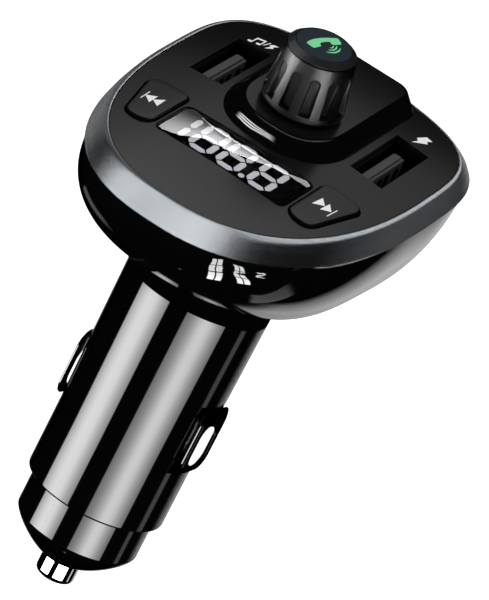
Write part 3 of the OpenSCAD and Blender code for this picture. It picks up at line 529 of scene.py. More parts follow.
class Finishes(Enum):
    """Every finish on the part."""

    # Black ABS, moulded in a polished tool: deep black with a mirror gloss.
    PIANO_BLACK = Finish(
        "piano_black_abs", "050506", "08080a", roughness=0.03, spread=0.015, grain=3.0, relief=0.001
    )
    # Black ABS under clear lacquer: the barrel, as dark, with the long strips of the lamps.
    BARREL_BLACK = Finish(
        "lacquered_black_abs", "050506", "080809", roughness=0.05, spread=0.02, grain=3.5, relief=0.001
    )
    # Metallised ABS in a satin gunmetal: soft reflections and a fine grain.
    GUNMETAL = Finish(
        "gunmetal_metallised_abs", "7c7f83", "84878a", 1.0,
        roughness=0.21, spread=0.02, grain=0.25, relief=0.0002,
    )
    # ABS from a spark-eroded tool: satin charcoal, nearly black, with a fine even grain.
    FACE_GREY = Finish(
        "eroded_charcoal_abs", "0d0d0c", "10100f", roughness=0.24, spread=0.03, grain=0.28, relief=0.001
    )
    # The keys' plastic, a shade darker and a little duller.
    KEY_GREY = Finish(
        "eroded_dark_abs", "0b0b0a", "0e0e0d", roughness=0.26, spread=0.03, grain=0.28, relief=0.001
    )
    # Satin black ABS with a soft sheen: the knob.
    SATIN_BLACK = Finish(
        "satin_black_abs", "060607", "080809", roughness=0.33, spread=0.04, grain=0.35, relief=0.001
    )
    # Chamfer of the knob's cap, in the same plastic with a finer grain.
    CAP_BLACK = Finish(
        "fine_satin_black_abs", "1c1c20", "202024", roughness=0.42, grain=0.3, relief=0.002
    )
    # Dark slate inlay on the knob's cap.
    SLATE = Finish(
        "slate_inlay_abs", "262f36", "2a343a", roughness=0.42, grain=0.3, relief=0.002, specular=0.3
    )
    # Chromed steel: bright with a hint of waviness.
    CHROME = Finish(
        "chromed_steel", "d8d8da", "e0e0e2", 1.0, roughness=0.05, spread=0.02, grain=1.2, relief=0.001
    )
    # Black nickel over steel: a dark mirror.
    BLACK_NICKEL = Finish(
        "black_nickel_steel", "4a4a4c", "545456", 1.0,
        roughness=0.08, spread=0.03, grain=0.8, relief=0.0005,
    )
    # Nickel-plated sheet inside the ports, dull, its colour darkened to near black as painted shade of
    # the deep recess.
    NICKEL_PAINTED_SHADE = Finish(
        "dull_nickel_plate", "3a3a3c", "48484a", 1.0, roughness=0.36, spread=0.1, grain=0.5, stretch=4.0
    )
    # Moulded nylon of the ports' tongues.
    NYLON_GREY = Finish("grey_nylon", "4b4b4a", "525251", roughness=0.55, grain=0.3, relief=0.004)
    # Gold-plated phosphor bronze, dulled by use: a soft warm shine.
    GOLD_CONTACT = Finish(
        "gold_plated_bronze", "8a7040", "967a48", 1.0, roughness=0.3, grain=0.4, relief=0.001
    )
    # Tinned steel strip and wire: pale, with the faint lines of its drawing.
    TINNED = Finish(
        "tinned_steel", "c9c9c7", "d6d6d4", 1.0, roughness=0.25, spread=0.1, grain=0.6, stretch=5.0
    )
    # Moulded black nylon inside: flat and slightly grey.
    INNER_BLACK = Finish(
        "black_nylon", "131314", "19191a", roughness=0.6, spread=0.08, grain=0.4, relief=0.004
    )
    # Green solder mask over glass laminate.
    BOARD = Finish(
        "green_solder_mask", "0e4a2a", "145a34", roughness=0.35, grain=0.6, relief=0.004, coat=0.3
    )
    # Black epoxy of the components.
    EPOXY = Finish(
        "black_epoxy", "161617", "1c1c1d", roughness=0.6, spread=0.1, grain=0.25, relief=0.004
    )
    # Drawn tin cans of the radio and the capacitor.
    CAN = Finish("drawn_tin_can", "a8a9ab", "b6b7b9", 1.0, roughness=0.35, spread=0.1, grain=0.5)
    # Clear glass tube of the fuse.
    FUSE_GLASS = ClearPlastic("clear_fuse_glass", "eef4f2", "e4ecea", roughness=0.02)
    # White ink, silk-screened.
    WHITE_INK = Finish("white_silk_ink", "e9e9e8", "f2f2f1", grain=0.2)
    # Green lamp behind the call sign.
    GREEN_LAMP = LitInk("green_lit_sign", "5fae7a", "6cba86", roughness=0.4, relief=0.001, glow=0.5)
    # White segments of the display.
    SEGMENT = LitInk(
        "white_segment", "d6d7d8", "dcddde", roughness=0.4, spread=0.03, relief=0.001, glow=0.6
    )
    # Lightly smoked acrylic, polished: the window, which mirrors the lamps over the digits.
    WINDOW = ClearPlastic("smoked_acrylic", "dcdce0", "d4d4d8", roughness=0.01, drift=20.0)
    # The window's lower face, bonded to the block below it, so that it mirrors nothing.
    BONDED = ClearPlastic("bonded_acrylic", "dcdce0", "d4d4d8", roughness=0.0, drift=20.0, ior=1.0)
    # Black foil behind the digits.
    BLACK_FOIL = Finish("black_foil", "030303", "050505", roughness=0.6, relief=0.001, specular=0.1)


# Barrel


@dataclass
class Barrel:
    """The plug: sleeve with its side windows, screwed nose, centre pin, clips and neck."""

    radius: float = 10.35
    top_radius: float = 10.66
    straight: float = 9.4
    top: float = 33.1
    inner: float = 9.05
    lip: float = 0.35
    window_half: float = 4.25
    window_low: float = 9.6
    window_high: float = 20.5
    last_row: float = 7.0
    edge: float = 0.12
    collar_radius: float = 9.2
    collar_low: float = -6.25
    nose_low: float = -11.35
    nose_round: float = 1.27
    pin_gap: float = 0.06
    seam_gap: float = 0.05
    seat_radius: float = 3.84
    seat_floor: float = 1.2
    thread_radius: float = 9.0
    thread_top: float = 6.2
    pin_radius: float = 2.88
    pin_low: float = -14.45
    pin_dome: float = 0.75
    pin_top: float = -8.9
    flange_radius: float = 3.68
    flange_low: float = -10.1
    neck_top: float = 37.9
    neck_inner: float = 7.4
    spigot_length: float = 5.9
    spigot_gap: float = 0.1
    clip_face: float = 11.03
    clip_sheet: float = 0.45
    clip_roll: float = 0.3
    clip_low: float = 9.9
    clip_power: float = 2.5
    clip_size: Point = (8.0, 10.3, 2.2)
    slot_size: Point = (4.4, 6.4, 2.19)
    slot_foot: float = 1.0
    tab_half: float = 1.5
    tab_in: float = 8.05
    tab_levels: Flat = (10.15, 18.85)

    def at(self, z: float) -> float:
        """Radius of the sleeve at a height over the straight stretch."""
        taper = (self.top_radius - self.radius) / (self.top - self.straight)
        return self.radius + taper * (z - self.straight)

    def sleeve(self) -> Piece:
        """Builds the sleeve as a wall of angle and height.

        The outer radius follows the profile r(z). The columns run over the two windows, whose
        sides stay at y = +-window_half because their angle is asin(window_half / r), and over
        the two stretches between them.
        """
        bend = np.linspace(0, np.pi / 2, 8)
        foot = self.radius - self.lip
        profile = [(foot + self.lip * math.sin(a), -self.lip * math.cos(a)) for a in bend]
        profile += [(self.radius, z) for z in (self.edge, self.straight / 2, self.straight)]
        heights = [*np.linspace(self.window_low, self.window_high, 4), self.top - self.last_row]
        heights += [self.top - 2 * self.edge, self.top - self.edge]
        profile += [(self.at(z), z) for z in heights]
        profile = np.array([*profile, (self.top_radius - self.edge, self.top)])
        r, z = profile[:, :1], profile[:, 1:]
        half = np.arcsin(self.window_half / r)
        window, between = np.linspace(-1, 1, 17)[:-1], np.linspace(0, 1, 61)[:-1]
        right = window * half
        to_left = half + between * (np.pi - 2 * half)
        angle = np.concatenate([right, to_left, np.pi + right, np.pi + to_left], axis=1)
        unit = np.stack([np.cos(angle), np.sin(angle), np.broadcast_to(z, angle.shape)], -1)
        outer = np.stack([r * unit[..., 0], r * unit[..., 1], unit[..., 2]], -1)
        inner = np.array([self.inner, self.inner, 1.0]) * unit
        keep = np.ones((angle.shape[0] - 1, angle.shape[1]), bool)
        middle = (profile[:-1, 1] + profile[1:, 1]) / 2
        in_window = (middle > self.window_low) & (middle < self.window_high)
        for start in (0, len(window) + len(between)):
            keep[np.ix_(in_window, range(start, start + len(window)))] = False
        return make_piece("sleeve_skin", *walled_sheet(outer, inner, keep), sharp=40.0)

    def nose(self) -> Piece:
        """Builds the screwed nose: a superellipse from the pin's hole out to the straight collar.

        r goes from the hole to the collar with cos(a)^(2/n) and z down from the collar's foot
        with sin(a)^(2/n), and the collar's upper edge is a small round.
        """
        hole, power = self.pin_radius + self.pin_gap, 2 / self.nose_round
        a = np.linspace(np.pi / 2, 0, 30)
        r = hole + (self.collar_radius - hole) * np.cos(a) ** power
        z = self.collar_low - (self.collar_low - self.nose_low) * np.sin(a) ** power
        joint, floor = -self.lip - self.seam_gap, self.nose_low + self.seat_floor
        rim = [(self.collar_radius, joint - 2 * self.edge, 0.0), (self.collar_radius, joint, self.edge)]
        rim += [(self.thread_radius, joint, 0.0), (self.thread_radius, self.thread_top, 0.0)]
        seat = [(self.seat_radius, self.thread_top), (self.seat_radius, floor), (hole, floor)]
        collar = (self.collar_radius, self.collar_low + self.edge)
        profile = [*zip(r, z), collar, *fillet(rim), *seat]
        return lofted("nose_skin", turned(profile), False, 35.0)

    def pin(self) -> Piece:
        """Builds the centre pin: a flange inside the nose, a straight shank and a rounded tip."""
        tip, flat = self.pin_low + self.pin_dome, self.pin_radius - self.pin_dome
        bend = np.linspace(0, np.pi / 2, 9)
        dome = [(flat + self.pin_dome * math.cos(a), tip - self.pin_dome * math.sin(a)) for a in bend]
        profile = [(self.flange_radius, self.pin_top), (self.flange_radius, self.flange_low)]
        profile += [(self.pin_radius, self.flange_low), (self.pin_radius, tip + self.edge), *dome]
        profile += [(self.pin_radius * share, self.pin_low) for share in (0.65, 0.3)]
        return lofted("pin_skin", turned(profile, 96), True)

    def neck(self) -> Piece:
        """Builds the neck as a turned ring with soft edges; its spigot sits in the sleeve."""
        low, high, foot = self.top + self.seam_gap, self.neck_top, self.top - self.spigot_length
        spigot = self.inner - self.spigot_gap
        corners = [(self.neck_inner, foot, 0.0), (spigot, foot, 0.0), (spigot, low, 0.0)]
        corners += [(self.top_radius, low, self.edge), (self.top_radius, high, 0.0)]
        corners.append((self.neck_inner, high, 0.0))
        return lofted("neck_skin", turned(fillet(corners)), False, 35.0)

    def clip(self, side: float) -> Piece:
        """Builds a side clip: a rolled ring round its slot, and two tabs into the barrel.

        Between the outer outline (t = 0) and the slot's (t = 1) the ring rises to the face by
        1 - |2t - 1|^clip_power, and its back is flat. Each tab is a flat block.
        """
        outer = rounded_rectangle(*self.clip_size)
        outer = outer + np.array([0.0, self.clip_low + self.clip_size[1] / 2])
        slot_middle = self.clip_low + self.slot_foot + self.slot_size[1] / 2
        slot = rounded_rectangle(*self.slot_size) + np.array([0.0, slot_middle])
        t = np.concatenate([np.linspace(0, 1, 13), [1.0, 0.0]])[:, None, None]
        flat = outer + (slot - outer) * t
        x = self.clip_face - self.clip_roll * np.abs(2 * t[..., 0] - 1) ** self.clip_power
        x[-2:] = self.clip_face - self.clip_sheet
        rings = np.concatenate([np.broadcast_to(x, flat.shape[:2])[..., None], flat], -1)
        points, faces = [rings.reshape(-1, 3)], [band_faces(*rings.shape[:2], close_rows=True)]
        for low in self.tab_levels:
            start = sum(len(p) for p in points)
            ends = np.array([[self.tab_in], [self.clip_face - self.clip_sheet / 2]])
            size = np.array([self.tab_half, self.clip_sheet])
            square = np.array([[-1, 0], [1, 0], [1, 1], [-1, 1]]) * size + np.array([0.0, low])
            block = [np.concatenate([np.broadcast_to(end, (4, 1)), square], 1) for end in ends]
            points.append(np.concatenate(block))
            sides = [[i, (i + 1) % 4, 4 + (i + 1) % 4, 4 + i] for i in range(4)]
            faces.append(np.array([[0, 1, 2, 3], [4, 5, 6, 7], *sides]) + start)
        name = "clip_ring_right" if side > 0 else "clip_ring_left"
        mirrored = np.concatenate(points) * np.array([side, 1.0, 1.0])
        return make_piece(name, mirrored, np.concatenate(faces), 35.0)

    def clip_floor(self) -> Piece:
        """Builds the polished plate that closes the right clip's slot from behind."""
        wide, long, corner = self.slot_size
        plate = rounded_rectangle(wide + 2 * self.edge, long + 2 * self.edge, corner)
        plate = plate + np.array([0.0, self.clip_low + self.slot_foot + long / 2])
        back = self.clip_face - self.clip_roll
        rings = [np.insert(plate, 0, x, axis=1) for x in (back - self.edge, back)]
        return lofted("clip_floor", np.stack(rings), True)

    def build(self) -> None:
        """Builds and dresses the barrel's pieces."""
        place(self.sleeve(), "housing", Finishes.BARREL_BLACK, ["plug_sleeve"])
        place(self.nose(), "housing", Finishes.BARREL_BLACK, ["nose_collar"])
        place(self.neck(), "housing", Finishes.PIANO_BLACK, ["neck_tube"])
        place(self.pin(), "tip", Finishes.CHROME, ["tip_pin"])
        for side, word in ((-1.0, "left"), (1.0, "right")):
            ring, node = self.clip(side), f"side_clip_{word}"
            place(ring, f"clip_{word}", Finishes.BLACK_NICKEL, [node])
            dress(f"ground_strap_{word}", Finishes.TINNED)
        place(self.clip_floor(), "clip_right", Finishes.CHROME)
        for node, finish in (
            ("barrel_core", Finishes.INNER_BLACK),
            ("tip_spring", Finishes.TINNED),
            ("spring_contact", Finishes.GOLD_CONTACT),
            ("fuse_tube", Finishes.FUSE_GLASS),
            ("fuse_caps", Finishes.TINNED),
        ):
            dress(node, finish)


# Head


@dataclass
class Head:
    """The head: bowl, bezel, face plate and the plinth under the knob."""

    half: float = 20.9
    front: float = 29.2
    rear: float = 22.5
    flare: float = 2.1
    front_flare: float = 3.0
    rear_flare: float = 3.0
    bezel_height: float = 2.8
    rear_lip_share: float = 0.35
    seat_gap: float = 0.05
    wall: float = 1.6
    rim_inset: float = 0.2
    shoulder_side: float = 0.85
    shoulder_drop: float = 1.5
    shoulder_power: float = 2.3
    front_swell: float = 1.3
    rear_swell: float = 0.5
    neck_height: float = 36.3
    neck_radius: float = 10.751
    fullness: Point = (1.51, 2.6, 1.87)
    blend: float = 3.6
    bowl_rear_round: float = 4.2
    plinth_half: float = 9.6
    plinth_front: float = 6.8
    plinth_slope: float = 1.95
    plinth_height: float = 1.85
    plinth_seat: float = 1.2
    overhang: float = 0.4
    pad_inset: float = 0.3
    pad_depth: float = 0.3
    bushing: float = 3.6
    plinth_corner: float = 2.4
    plinth_round: float = 2.35
    plinth_nose: float = 1.2
    plinth_rear: float = 0.5
    # The bezel's section: a share of the flare, an extra reach and a level for each row.
    section: tuple[Point, ...] = (
        (0.0, 0.05, -0.12), (0.0, 0.12, 0.04), (0.0, 0.3, 0.11), (0.0, 0.45, 0.12),
        (0.0, 0.62, 0.07), (0.0, 0.78, -0.04), (0.08, 0.77, -0.2), (0.25, 0.62, -0.58),
        (0.5, 0.4, -1.17), (0.7, 0.2, -1.65), (0.84, 0.0, -2.1), (0.93, 0.0, -2.45),
        (0.99, 0.0, -2.72), (1.0, -0.03, -2.8), (0.5, 0.0, -2.8), (0.0, 0.05, -2.8),
    )

    def bowl_outline(self, inset: float, swell: float) -> Array:
        """Outline of the bowl, from the bezel's foot (swell 0) to its widest ring (swell 1)."""
        return face_outline(
            self.half + self.flare - self.shoulder_side * swell - inset,
            self.front + self.front_flare + self.front_swell * swell - inset,
            self.rear + self.rear_flare + self.rear_swell * swell - inset,
            REAR_ROUND + (self.bowl_rear_round - REAR_ROUND) * swell,
        )

    def bowl_rings(self, inset: float, turns: Array) -> Array:
        """Rings of the bowl from its shoulder down to its neck.

        Each shoulder point moves in to the neck's circle by 1 - cos(t)^(2/p) and down to the
        neck by sin(t)^(2/p), and p goes from the side's value to the front's or rear's with
        the size of the sine of the point's direction, raised to blend.

        Args:
            inset: Distance inside the outer surface.
            turns: Values of t, from 0 at the shoulder to a quarter turn at the neck.

        Returns:
            Grid of points, a ring for each turn.
        """
        q = from_face(on_face(self.bowl_outline(inset, 1.0), -self.bezel_height - self.shoulder_drop))
        a = np.arctan2(q[:, 1], q[:, 0])
        s = np.sin(a)
        ahead, behind, side = self.fullness
        p = side + np.where(s < 0, ahead - side, behind - side) * np.abs(s) ** self.blend
        t = turns[:, None]
        inward, down = 1 - np.cos(t) ** (2 / p), np.sin(t) ** (2 / p)
        x = q[:, 0] + (self.neck_radius * np.cos(a) - q[:, 0]) * inward
        y = q[:, 1] + (self.neck_radius * np.sin(a) - q[:, 1]) * inward
        z = q[:, 2] + (self.neck_height + inset - q[:, 2]) * down
        return np.stack([x, y, z], -1)

    def bowl(self) -> Piece:
        """Builds the bowl: rim, shoulder, curve and wall.

        The shoulder swells by 1 - s^shoulder_power down to its widest ring, where s is 0.
        """
        turns, power = np.linspace(0, np.pi / 2, 48), self.shoulder_power
        top, low = -self.bezel_height - self.seat_gap, -self.bezel_height - self.shoulder_drop
        shoulder = [
            from_face(on_face(self.bowl_outline(0.0, 1 - s**power), low + (top - low) * s))
            for s in np.linspace(1, 0, 9)[:-1]
        ]
        inner = self.bowl_rings(self.wall, turns)[::-1]
        ledge = from_face(on_face(self.bowl_outline(self.wall + self.rim_inset, 0.0), top))
        rings = np.concatenate([np.stack(shoulder), self.bowl_rings(0.0, turns), inner, ledge[None]])
        return lofted("bowl_skin", rings, False, 35.0)

    def bezel(self) -> Piece:
        """Builds the bezel: a rounded lip, a soft kink and a sloping band, carried round the face.

        At the rear the extra reach shrinks to rear_lip_share of itself.
        """
        rings = []
        for share, extra, level in self.section:
            behind = max(extra * self.rear_lip_share, min(extra, self.seat_gap))
            outline = face_outline(
                self.half + self.flare * share + extra,
                self.front + self.front_flare * share + extra,
                self.rear + self.rear_flare * share + behind,
            )
            rings.append(from_face(on_face(outline, level)))
        return lofted("bezel_band", np.stack(rings), False, 40.0)

    def plinth_outline(self, inset: float, out_back: float = 0.0) -> Array:
        """Outline of the plinth: a superellipse nose, straight sides and two round rear corners.

        Args:
            inset: Distance inside the foot's outline at the sides.
            out_back: Distance beyond the foot's outline at the rear.

        Returns:
            Points (u, v), counter-clockwise from the left.
        """
        half, corner = self.plinth_half - inset, self.plinth_corner
        reach = self.plinth_front + KNOB_AT - inset * self.plinth_nose
        rear = self.rear - self.plinth_rear + out_back
        a, power = np.linspace(np.pi, 2 * np.pi, 81), 2 / self.plinth_round
        u, v = side_power(np.cos(a), power), side_power(np.sin(a), power)
        nose = np.stack([half * u, KNOB_AT + reach * v], -1)
        b = np.linspace(0, np.pi / 2, 13)
        right = np.stack([half - corner + corner * np.cos(b), rear - corner + corner * np.sin(b)], -1)
        left = right[::-1] * np.array([-1.0, 1.0])
        sides = np.linspace(nose[-1], right[0], 14)[1:-1]
        across = np.linspace(right[-1], left[0], 12)[1:-1]
        down = np.linspace(left[-1], nose[0], 14)[1:-1]
        return np.concatenate([nose, sides, right, across, left, down])

    def plinth(self) -> Piece:
        """Builds the plinth as rings over its outline: skirt, sloping wall, rim and pad seat."""
        h, slope, out = self.plinth_height, self.plinth_slope, self.overhang
        rows = [(0.0, 0.0, -self.plinth_seat), (0.0, 0.0, 0.0)]
        rows += [(slope * share, out * share, h * share) for share in np.linspace(0.02, 0.92, 8)]
        rows += [(slope * 0.97, out * 0.96, h * 0.965), (slope + 0.03, out - 0.02, h * 0.993)]
        rows += [(slope + 0.1, out - 0.08, h), (slope + self.pad_inset, out - self.pad_inset, h)]
        rows += [(slope + self.pad_inset, out - self.pad_inset, h - self.pad_depth)]
        rings = [from_face(on_face(self.plinth_outline(inset, back), w, 0.0)) for inset, back, w in rows]
        outline = self.plinth_outline(slope + self.pad_inset, out - self.pad_inset)
        direction = np.arctan2(outline[:, 1] - KNOB_AT, outline[:, 0])
        circle = np.stack([np.cos(direction), np.sin(direction)], -1) * self.bushing
        circle = circle + np.array([0.0, KNOB_AT])
        rings += [from_face(on_face(circle, w, 0.0)) for w in (h - self.pad_depth, -self.plinth_seat)]
        return lofted("plinth_body", np.stack(rings), False, 30.0)

    def build(self) -> None:
        """Builds and dresses the head's pieces."""
        place(self.bowl(), "housing", Finishes.PIANO_BLACK, ["lower_shell"])
        place(self.bezel(), "housing", Finishes.GUNMETAL, ["bezel_ring"])
        place(self.plinth(), "housing", Finishes.PIANO_BLACK, ["knob_plinth"])
        dress("face_plate", Finishes.FACE_GREY)
        dress("plinth_pad", Finishes.FACE_GREY)


# Display


@dataclass
class Display:
    """The smoked window and its digits."""

    width: float = 21.4
    length: float = 9.0
    front: float = 12.35
    corner: float = 1.25
    low: float = -0.65
    digit_width: float = 3.9
    digit_height: float = 7.25
    digit_gap: float = 0.62
    stroke: float = 0.92
    parting: float = 0.16
    point: float = 0.5
    film: float = -0.82
    film_depth: float = 0.08
    digits_side: float = 0.4
    digits_back: float = 0.15
    dot_room: float = 0.61
    one_room: float = 0.21
    dot_side: float = 0.09
    dot_lift: float = 0.13
    dot_radius: float = 0.45
    # Inset and level of each row of the window's bevel.
    bevel: Outline = ((0.0, -0.1), (0.03, -0.03), (0.1, 0.0))

    def window(self) -> Piece:
        """Builds the window: a rounded rectangle with a polished, crowned top and a small bevel."""
        middle = np.array([0.0, self.front])
        rows = [(0.0, self.low, 0.0), *((inset, level, 1.0) for inset, level in self.bevel)]
        rings = []
        for inset, level, crowned in rows:
            size = self.width - 2 * inset, self.length - 2 * inset
            outline = rounded_rectangle(*size, self.corner - inset)
            rings.append(from_face(on_face(outline - middle, level, crowned)))
        shares = np.linspace(0.95, 0.05, 19)
        rings += [from_face(on_face(outline * share - middle, 0.0)) for share in shares]
        return lofted("display_window", np.stack(rings), True, 30.0)

    def leaf(self, start: Flat, end: Flat) -> Array:
        """Outline of a segment: a bar with long pointed ends."""
        a, b = np.array(start), np.array(end)
        along = (b - a) / np.linalg.norm(b - a)
        side = np.array([-along[1], along[0]]) * self.stroke / 2
        a, b = a + along * self.parting, b - along * self.parting
        inner_a, inner_b = a + along * self.point, b - along * self.point
        return np.array([a, inner_a - side, inner_b - side, b, inner_b + side, inner_a + side])

    def segments(self) -> Piece:
        """Inlays the segments: a one and three eights about the display's middle, and a dot."""
        half, high = (self.digit_width - self.stroke) / 2, (self.digit_height - self.stroke) / 2
        corners = {(x, y): (half * x, high * y) for x in (-1, 1) for y in (-1, 0, 1)}
        ring = [((-1, 1), (1, 1)), ((-1, 0), (1, 0)), ((-1, -1), (1, -1))]
        ring += [((x, y), (x, y + 1)) for x in (-1, 1) for y in (-1, 0)]
        pitch = self.digit_width + self.digit_gap
        shapes = []
        for middle in (-pitch, 0.0, pitch + self.dot_room):
            shapes += [self.leaf(corners[a], corners[b]) + np.array([middle, 0.0]) for a, b in ring]
        one = np.array([-2 * pitch - self.one_room, 0.0])
        shapes += [self.leaf(corners[1, y], corners[1, y + 1]) + one for y in (-1, 0)]
        a = np.linspace(0, 2 * np.pi, 25)[:-1]
        dot = self.dot_radius * np.stack([np.cos(a), np.sin(a)], -1)
        dot_at = (pitch + self.dot_room) / 2 + self.dot_side
        shapes.append(dot + np.array([dot_at, self.dot_lift - high]))
        middle = np.array([self.digits_side, self.digits_back - self.front])
        moved = [shape + middle for shape in shapes]
        return printed("lit_segments", moved, lambda p: np.full(len(p), self.film), self.film_depth)

    def build(self) -> None:
        """Builds and dresses the display; the faces that look down are bonded."""
        window = place(self.window(), "housing", Finishes.WINDOW, ["display_lens"])
        window.data.materials.append(Finishes.BONDED.value.material())
        up = turn_from_face(np.array([0.0, 0.0, 1.0]))
        ways = np.empty(3 * len(window.data.polygons), np.float32)
        window.data.polygons.foreach_get("normal", ways)
        down = (ways.reshape(-1, 3) @ up < -0.5).astype(np.int32)
        window.data.polygons.foreach_set("material_index", down)
        place(self.segments(), "housing", Finishes.SEGMENT, ["display_segments"])
        dress("display_block", Finishes.BLACK_FOIL)


# Keys


@dataclass
class Key:
    """One key: a domed cap with soft edges and its skip sign."""

    left: bool
    circles: tuple[Point, ...] = (
        (12.65, -7.5, 1.65), (15.95, -7.6, 1.85), (13.75, -15.2, 2.25), (13.35, -15.1, 2.35),
    )
    gap: float = 0.3
    rise: float = 0.5
    edge: float = 0.35
    low: float = -3.81
    flange: float = 0.55
    flange_height: float = 0.5
    # Corners of the sign's two triangles and its bar, for the right key and the left one.
    right_sign: tuple[Outline, ...] = (
        ((12.71, -12.4), (14.1, -11.13), (12.97, -9.9)),
        ((14.07, -12.42), (15.35, -11.35), (14.26, -10.06)),
        ((15.4, -12.76), (15.53, -12.74), (15.71, -10.22), (15.57, -10.2)),
    )
    left_sign: tuple[Outline, ...] = (
        ((-15.46, -11.62), (-14.05, -12.88), (-14.1, -10.56)),
        ((-14.08, -11.84), (-12.79, -12.8), (-12.91, -10.37)),
        ((-15.5, -12.9), (-15.36, -12.88), (-15.45, -10.38), (-15.59, -10.4)),
    )

    def cap(self, name: str) -> Piece:
        """Builds the cap: a skirt with a flange, and a rounded edge into the crowned top."""
        top = self.low + self.flange_height
        rows = [(-self.flange, self.low, 0.0), (-self.flange, top, 0.0), (self.gap, top, 0.0)]
        rows.append((self.gap, self.rise - self.edge, 1.0))
        for a in np.linspace(0, np.pi / 2, 7)[1:]:
            in_by = self.gap + self.edge * (1 - math.cos(a))
            rows.append((in_by, self.rise - self.edge * (1 - math.sin(a)), 1.0))
        rings = [
            self.ring(outline_of_circles(self.circles, -in_by), level, crowned)
            for in_by, level, crowned in rows
        ]
        last = outline_of_circles(self.circles, -self.gap - self.edge)
        middle = last.mean(axis=0)
        rings += [self.ring(middle + (last - middle) * s, self.rise, 1.0) for s in (0.75, 0.5, 0.25)]
        return lofted(name, np.stack(rings), True, 30.0)

    def ring(self, outline: Array, level: float, crowned: float) -> Array:
        """One ring of the cap, mirrored for the left key."""
        return from_face(on_face(outline * np.array([-1.0 if self.left else 1.0, 1.0]), level, crowned))

    def build(self) -> None:
        """Builds and dresses the key; its sign is printed on the crowned top."""
        word = "prev" if self.left else "next"
        shapes = [np.array(shape) for shape in (self.left_sign if self.left else self.right_sign)]
        sign = printed(f"{word}_key_sign", shapes, lambda p: self.rise - crown_drop(p[:, 0]))
        cap, body = self.cap(f"{word}_key_cap"), f"{word}_key"
        place(cap, body, Finishes.KEY_GREY, [f"{word}_button"])
        place(sign, body, Finishes.WHITE_INK)
        dress(f"{word}_plunger", Finishes.NYLON_GREY)
        dress(f"{word}_switch", Finishes.CAN)


# Knob


